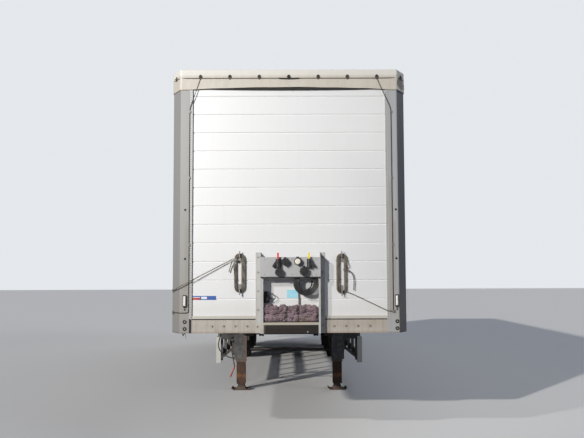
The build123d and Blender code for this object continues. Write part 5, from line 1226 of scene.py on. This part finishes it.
# Body frame: galvanised side rails, aluminium cant rails, posts and bows, and a plywood floor.
# The floor is phenolic-coated, brown and scratched along its length.
paint_nodes(
    ("side_rails", "rail_zinc", (0.37, 0.37, 0.365), (0.22, 0.19, 0.16), 0.4, 0.35, 3.5, 0.45, 0.6, 160),
    ("cant_rails", "cant_alu", (0.60, 0.60, 0.60), (0.36, 0.34, 0.31), 0.25, 0.2, 3, 0.35, 0.85, 260),
    ("roof_bows", "bow_steel", (0.42, 0.42, 0.41), (0.25, 0.22, 0.19), 0.4, 0.1, 5, 0.45, 0.7, 200),
    ("side_posts", "post_steel", (0.34, 0.345, 0.35), (0.22, 0.19, 0.16), 0.35, 0.3, 5, 0.42, 0.6, 200),
    ("floor_deck", "floor_ply", (0.115, 0.062, 0.038), (0.27, 0.22, 0.17), 0.35, 0.1, 4, 0.55, 0, 60, 0.4),
)


# Rear doors: white coated leaves in a grey portal, with black rubber seals and zinc locking gear.
# Seals and hinge bolts ride with their own leaf.
door_paint = coated("door_paint", (0.66, 0.665, 0.67), (0.42, 0.39, 0.34), 0.12, 0.25, 2, 0.35, grain=140)
tint(door_paint, (-2, 6, 1.2), (2, 7.2, 1.75), (0.45, 0.41, 0.35), 0.4, 0.5)
paint(door_paint, "door_left", "door_right")
portal_paint = coated("portal_paint", (0.40, 0.40, 0.39), (0.26, 0.23, 0.20), 0.3, 0.45, 3, 0.45, 0.2, grain=160)
tint(portal_paint, (-2, 6, 0.9), (2, 7.2, 1.30), (0.30, 0.25, 0.20), 0.2, 0.5)
paint(portal_paint, "rear_portal")
lock_zinc = coated("lock_zinc", (0.45, 0.45, 0.44), (0.22, 0.18, 0.14), 0.3, 0.3, 8, 0.35, 0.8, grain=220)
paint(lock_zinc, "door_locks_left", "door_locks_right")
door_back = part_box("door_locks_left")[0].y
for side, label in ((-1, "left"), (1, "right")):
    low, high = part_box(f"door_{label}")
    seal = bmesh.new()
    # columns: from and to across the leaf, from and to in height
    for x0, x1, z0, z1 in (
        (0.0075, 1.232, low.z + 0.002, low.z + 0.020),
        (0.0075, 1.232, high.z - 0.020, high.z - 0.002),
        (0.0075, 0.0255, low.z + 0.002, high.z - 0.002),
        (1.214, 1.232, low.z + 0.002, high.z - 0.002),
    ):
        box_into(seal, (side * x0, door_back - 0.001, z0), (side * x1, door_back + 0.0035, z1))
    for k in range(9):
        z = low.z + 0.12 + (high.z - low.z - 0.24) * k / 8
        for x in (side * 1.192, side * 0.0475):
            rod_into(seal, (x, door_back - 0.001, z), (x, door_back + 0.0028, z), 0.0065, 14, 1)
    finish_piece(f"door_seals_{label}", seal, [seal_rubber_and_hem_shade, zinc], body=f"rear_door_{label}")


# Rear end: lamps with red, amber and clear chambers, rubber buffers and a steel underrun bar.
# The bar is grey and carries dust and rust from the road.
lamp_red = coated("lamp_red", (0.32, 0.008, 0.008), (0.16, 0.10, 0.09), 0.15, 0.1, 9, 0.18)
feed(shader_of(lamp_red), {"Coat Weight": 0.5})
lamp_line = coated("lamp_line", (0.25, 0.02, 0.02), (0.12, 0.06, 0.06), 0.1, 0.1, 9, 0.2)
lamp_low, lamp_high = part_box("rear_lamps")
lamp_bits = bmesh.new()
for side in (-1, 1):
    for inner, outer, color in ((0.88, 0.99, (0.80, 0.24, 0.01)), (0.80, 0.878, (0.70, 0.70, 0.68))):
        left, right = sorted((side * inner, side * outer))
        tint(lamp_red, (left, 6, 1.0), (right, 7, 1.2), color, 0.001, 1.0)
    # columns: place across, half its width, how far it stands off, how far it ends from the edges, material
    lines = [(x, 0.0015, 0.0012, 0.006, 0) for x in (0.80, 0.879, 0.99, 1.065)]
    lines += [(0.712 + 0.0164 * k, 0.0010, 0.0004, 0.014, 1) for k in range(26)]
    for x, half, off, gap, slot in lines:
        box_into(lamp_bits, (side * x - half, lamp_high.y - 0.001, lamp_low.z + gap),
                 (side * x + half, lamp_high.y + off, lamp_high.z - gap), slot)
paint(lamp_red, "rear_lamps")
finish_piece("rear_lamp_lines", lamp_bits, [black_plastic_and_shade, lamp_line])
paint_nodes(
    ("buffers", "buffer_rubber", (0.020, 0.020, 0.020), (0.13, 0.12, 0.11), 0.5, 0.1, 16, 0.8, 0, 160, 0.5),
    ("underrun_bar", "bar_paint", (0.30, 0.30, 0.295), (0.20, 0.15, 0.11), 0.5, 0.35, 4, 0.5, 0.2, 150),
    ("side_markers", "marker_amber", (0.78, 0.25, 0.01), (0.25, 0.15, 0.07), 0.15, 0.1, 10, 0.18),
    ("mudguards", "guard_plastic", (0.022, 0.022, 0.023), (0.14, 0.125, 0.105), 0.5, 0.35, 5, 0.55, 0, 160, 0.5),
)

# Cord coats: the ropes and the spare cable are coated last.
# Known fault: after so late a coat, Blender reports the box of a curve 1 m too large each way.
for cord, coat in ((rope_left, rope_fibre), (rope_right, rope_fibre), (cable, cable_sheath)):
    cord.data.materials.append(coat)
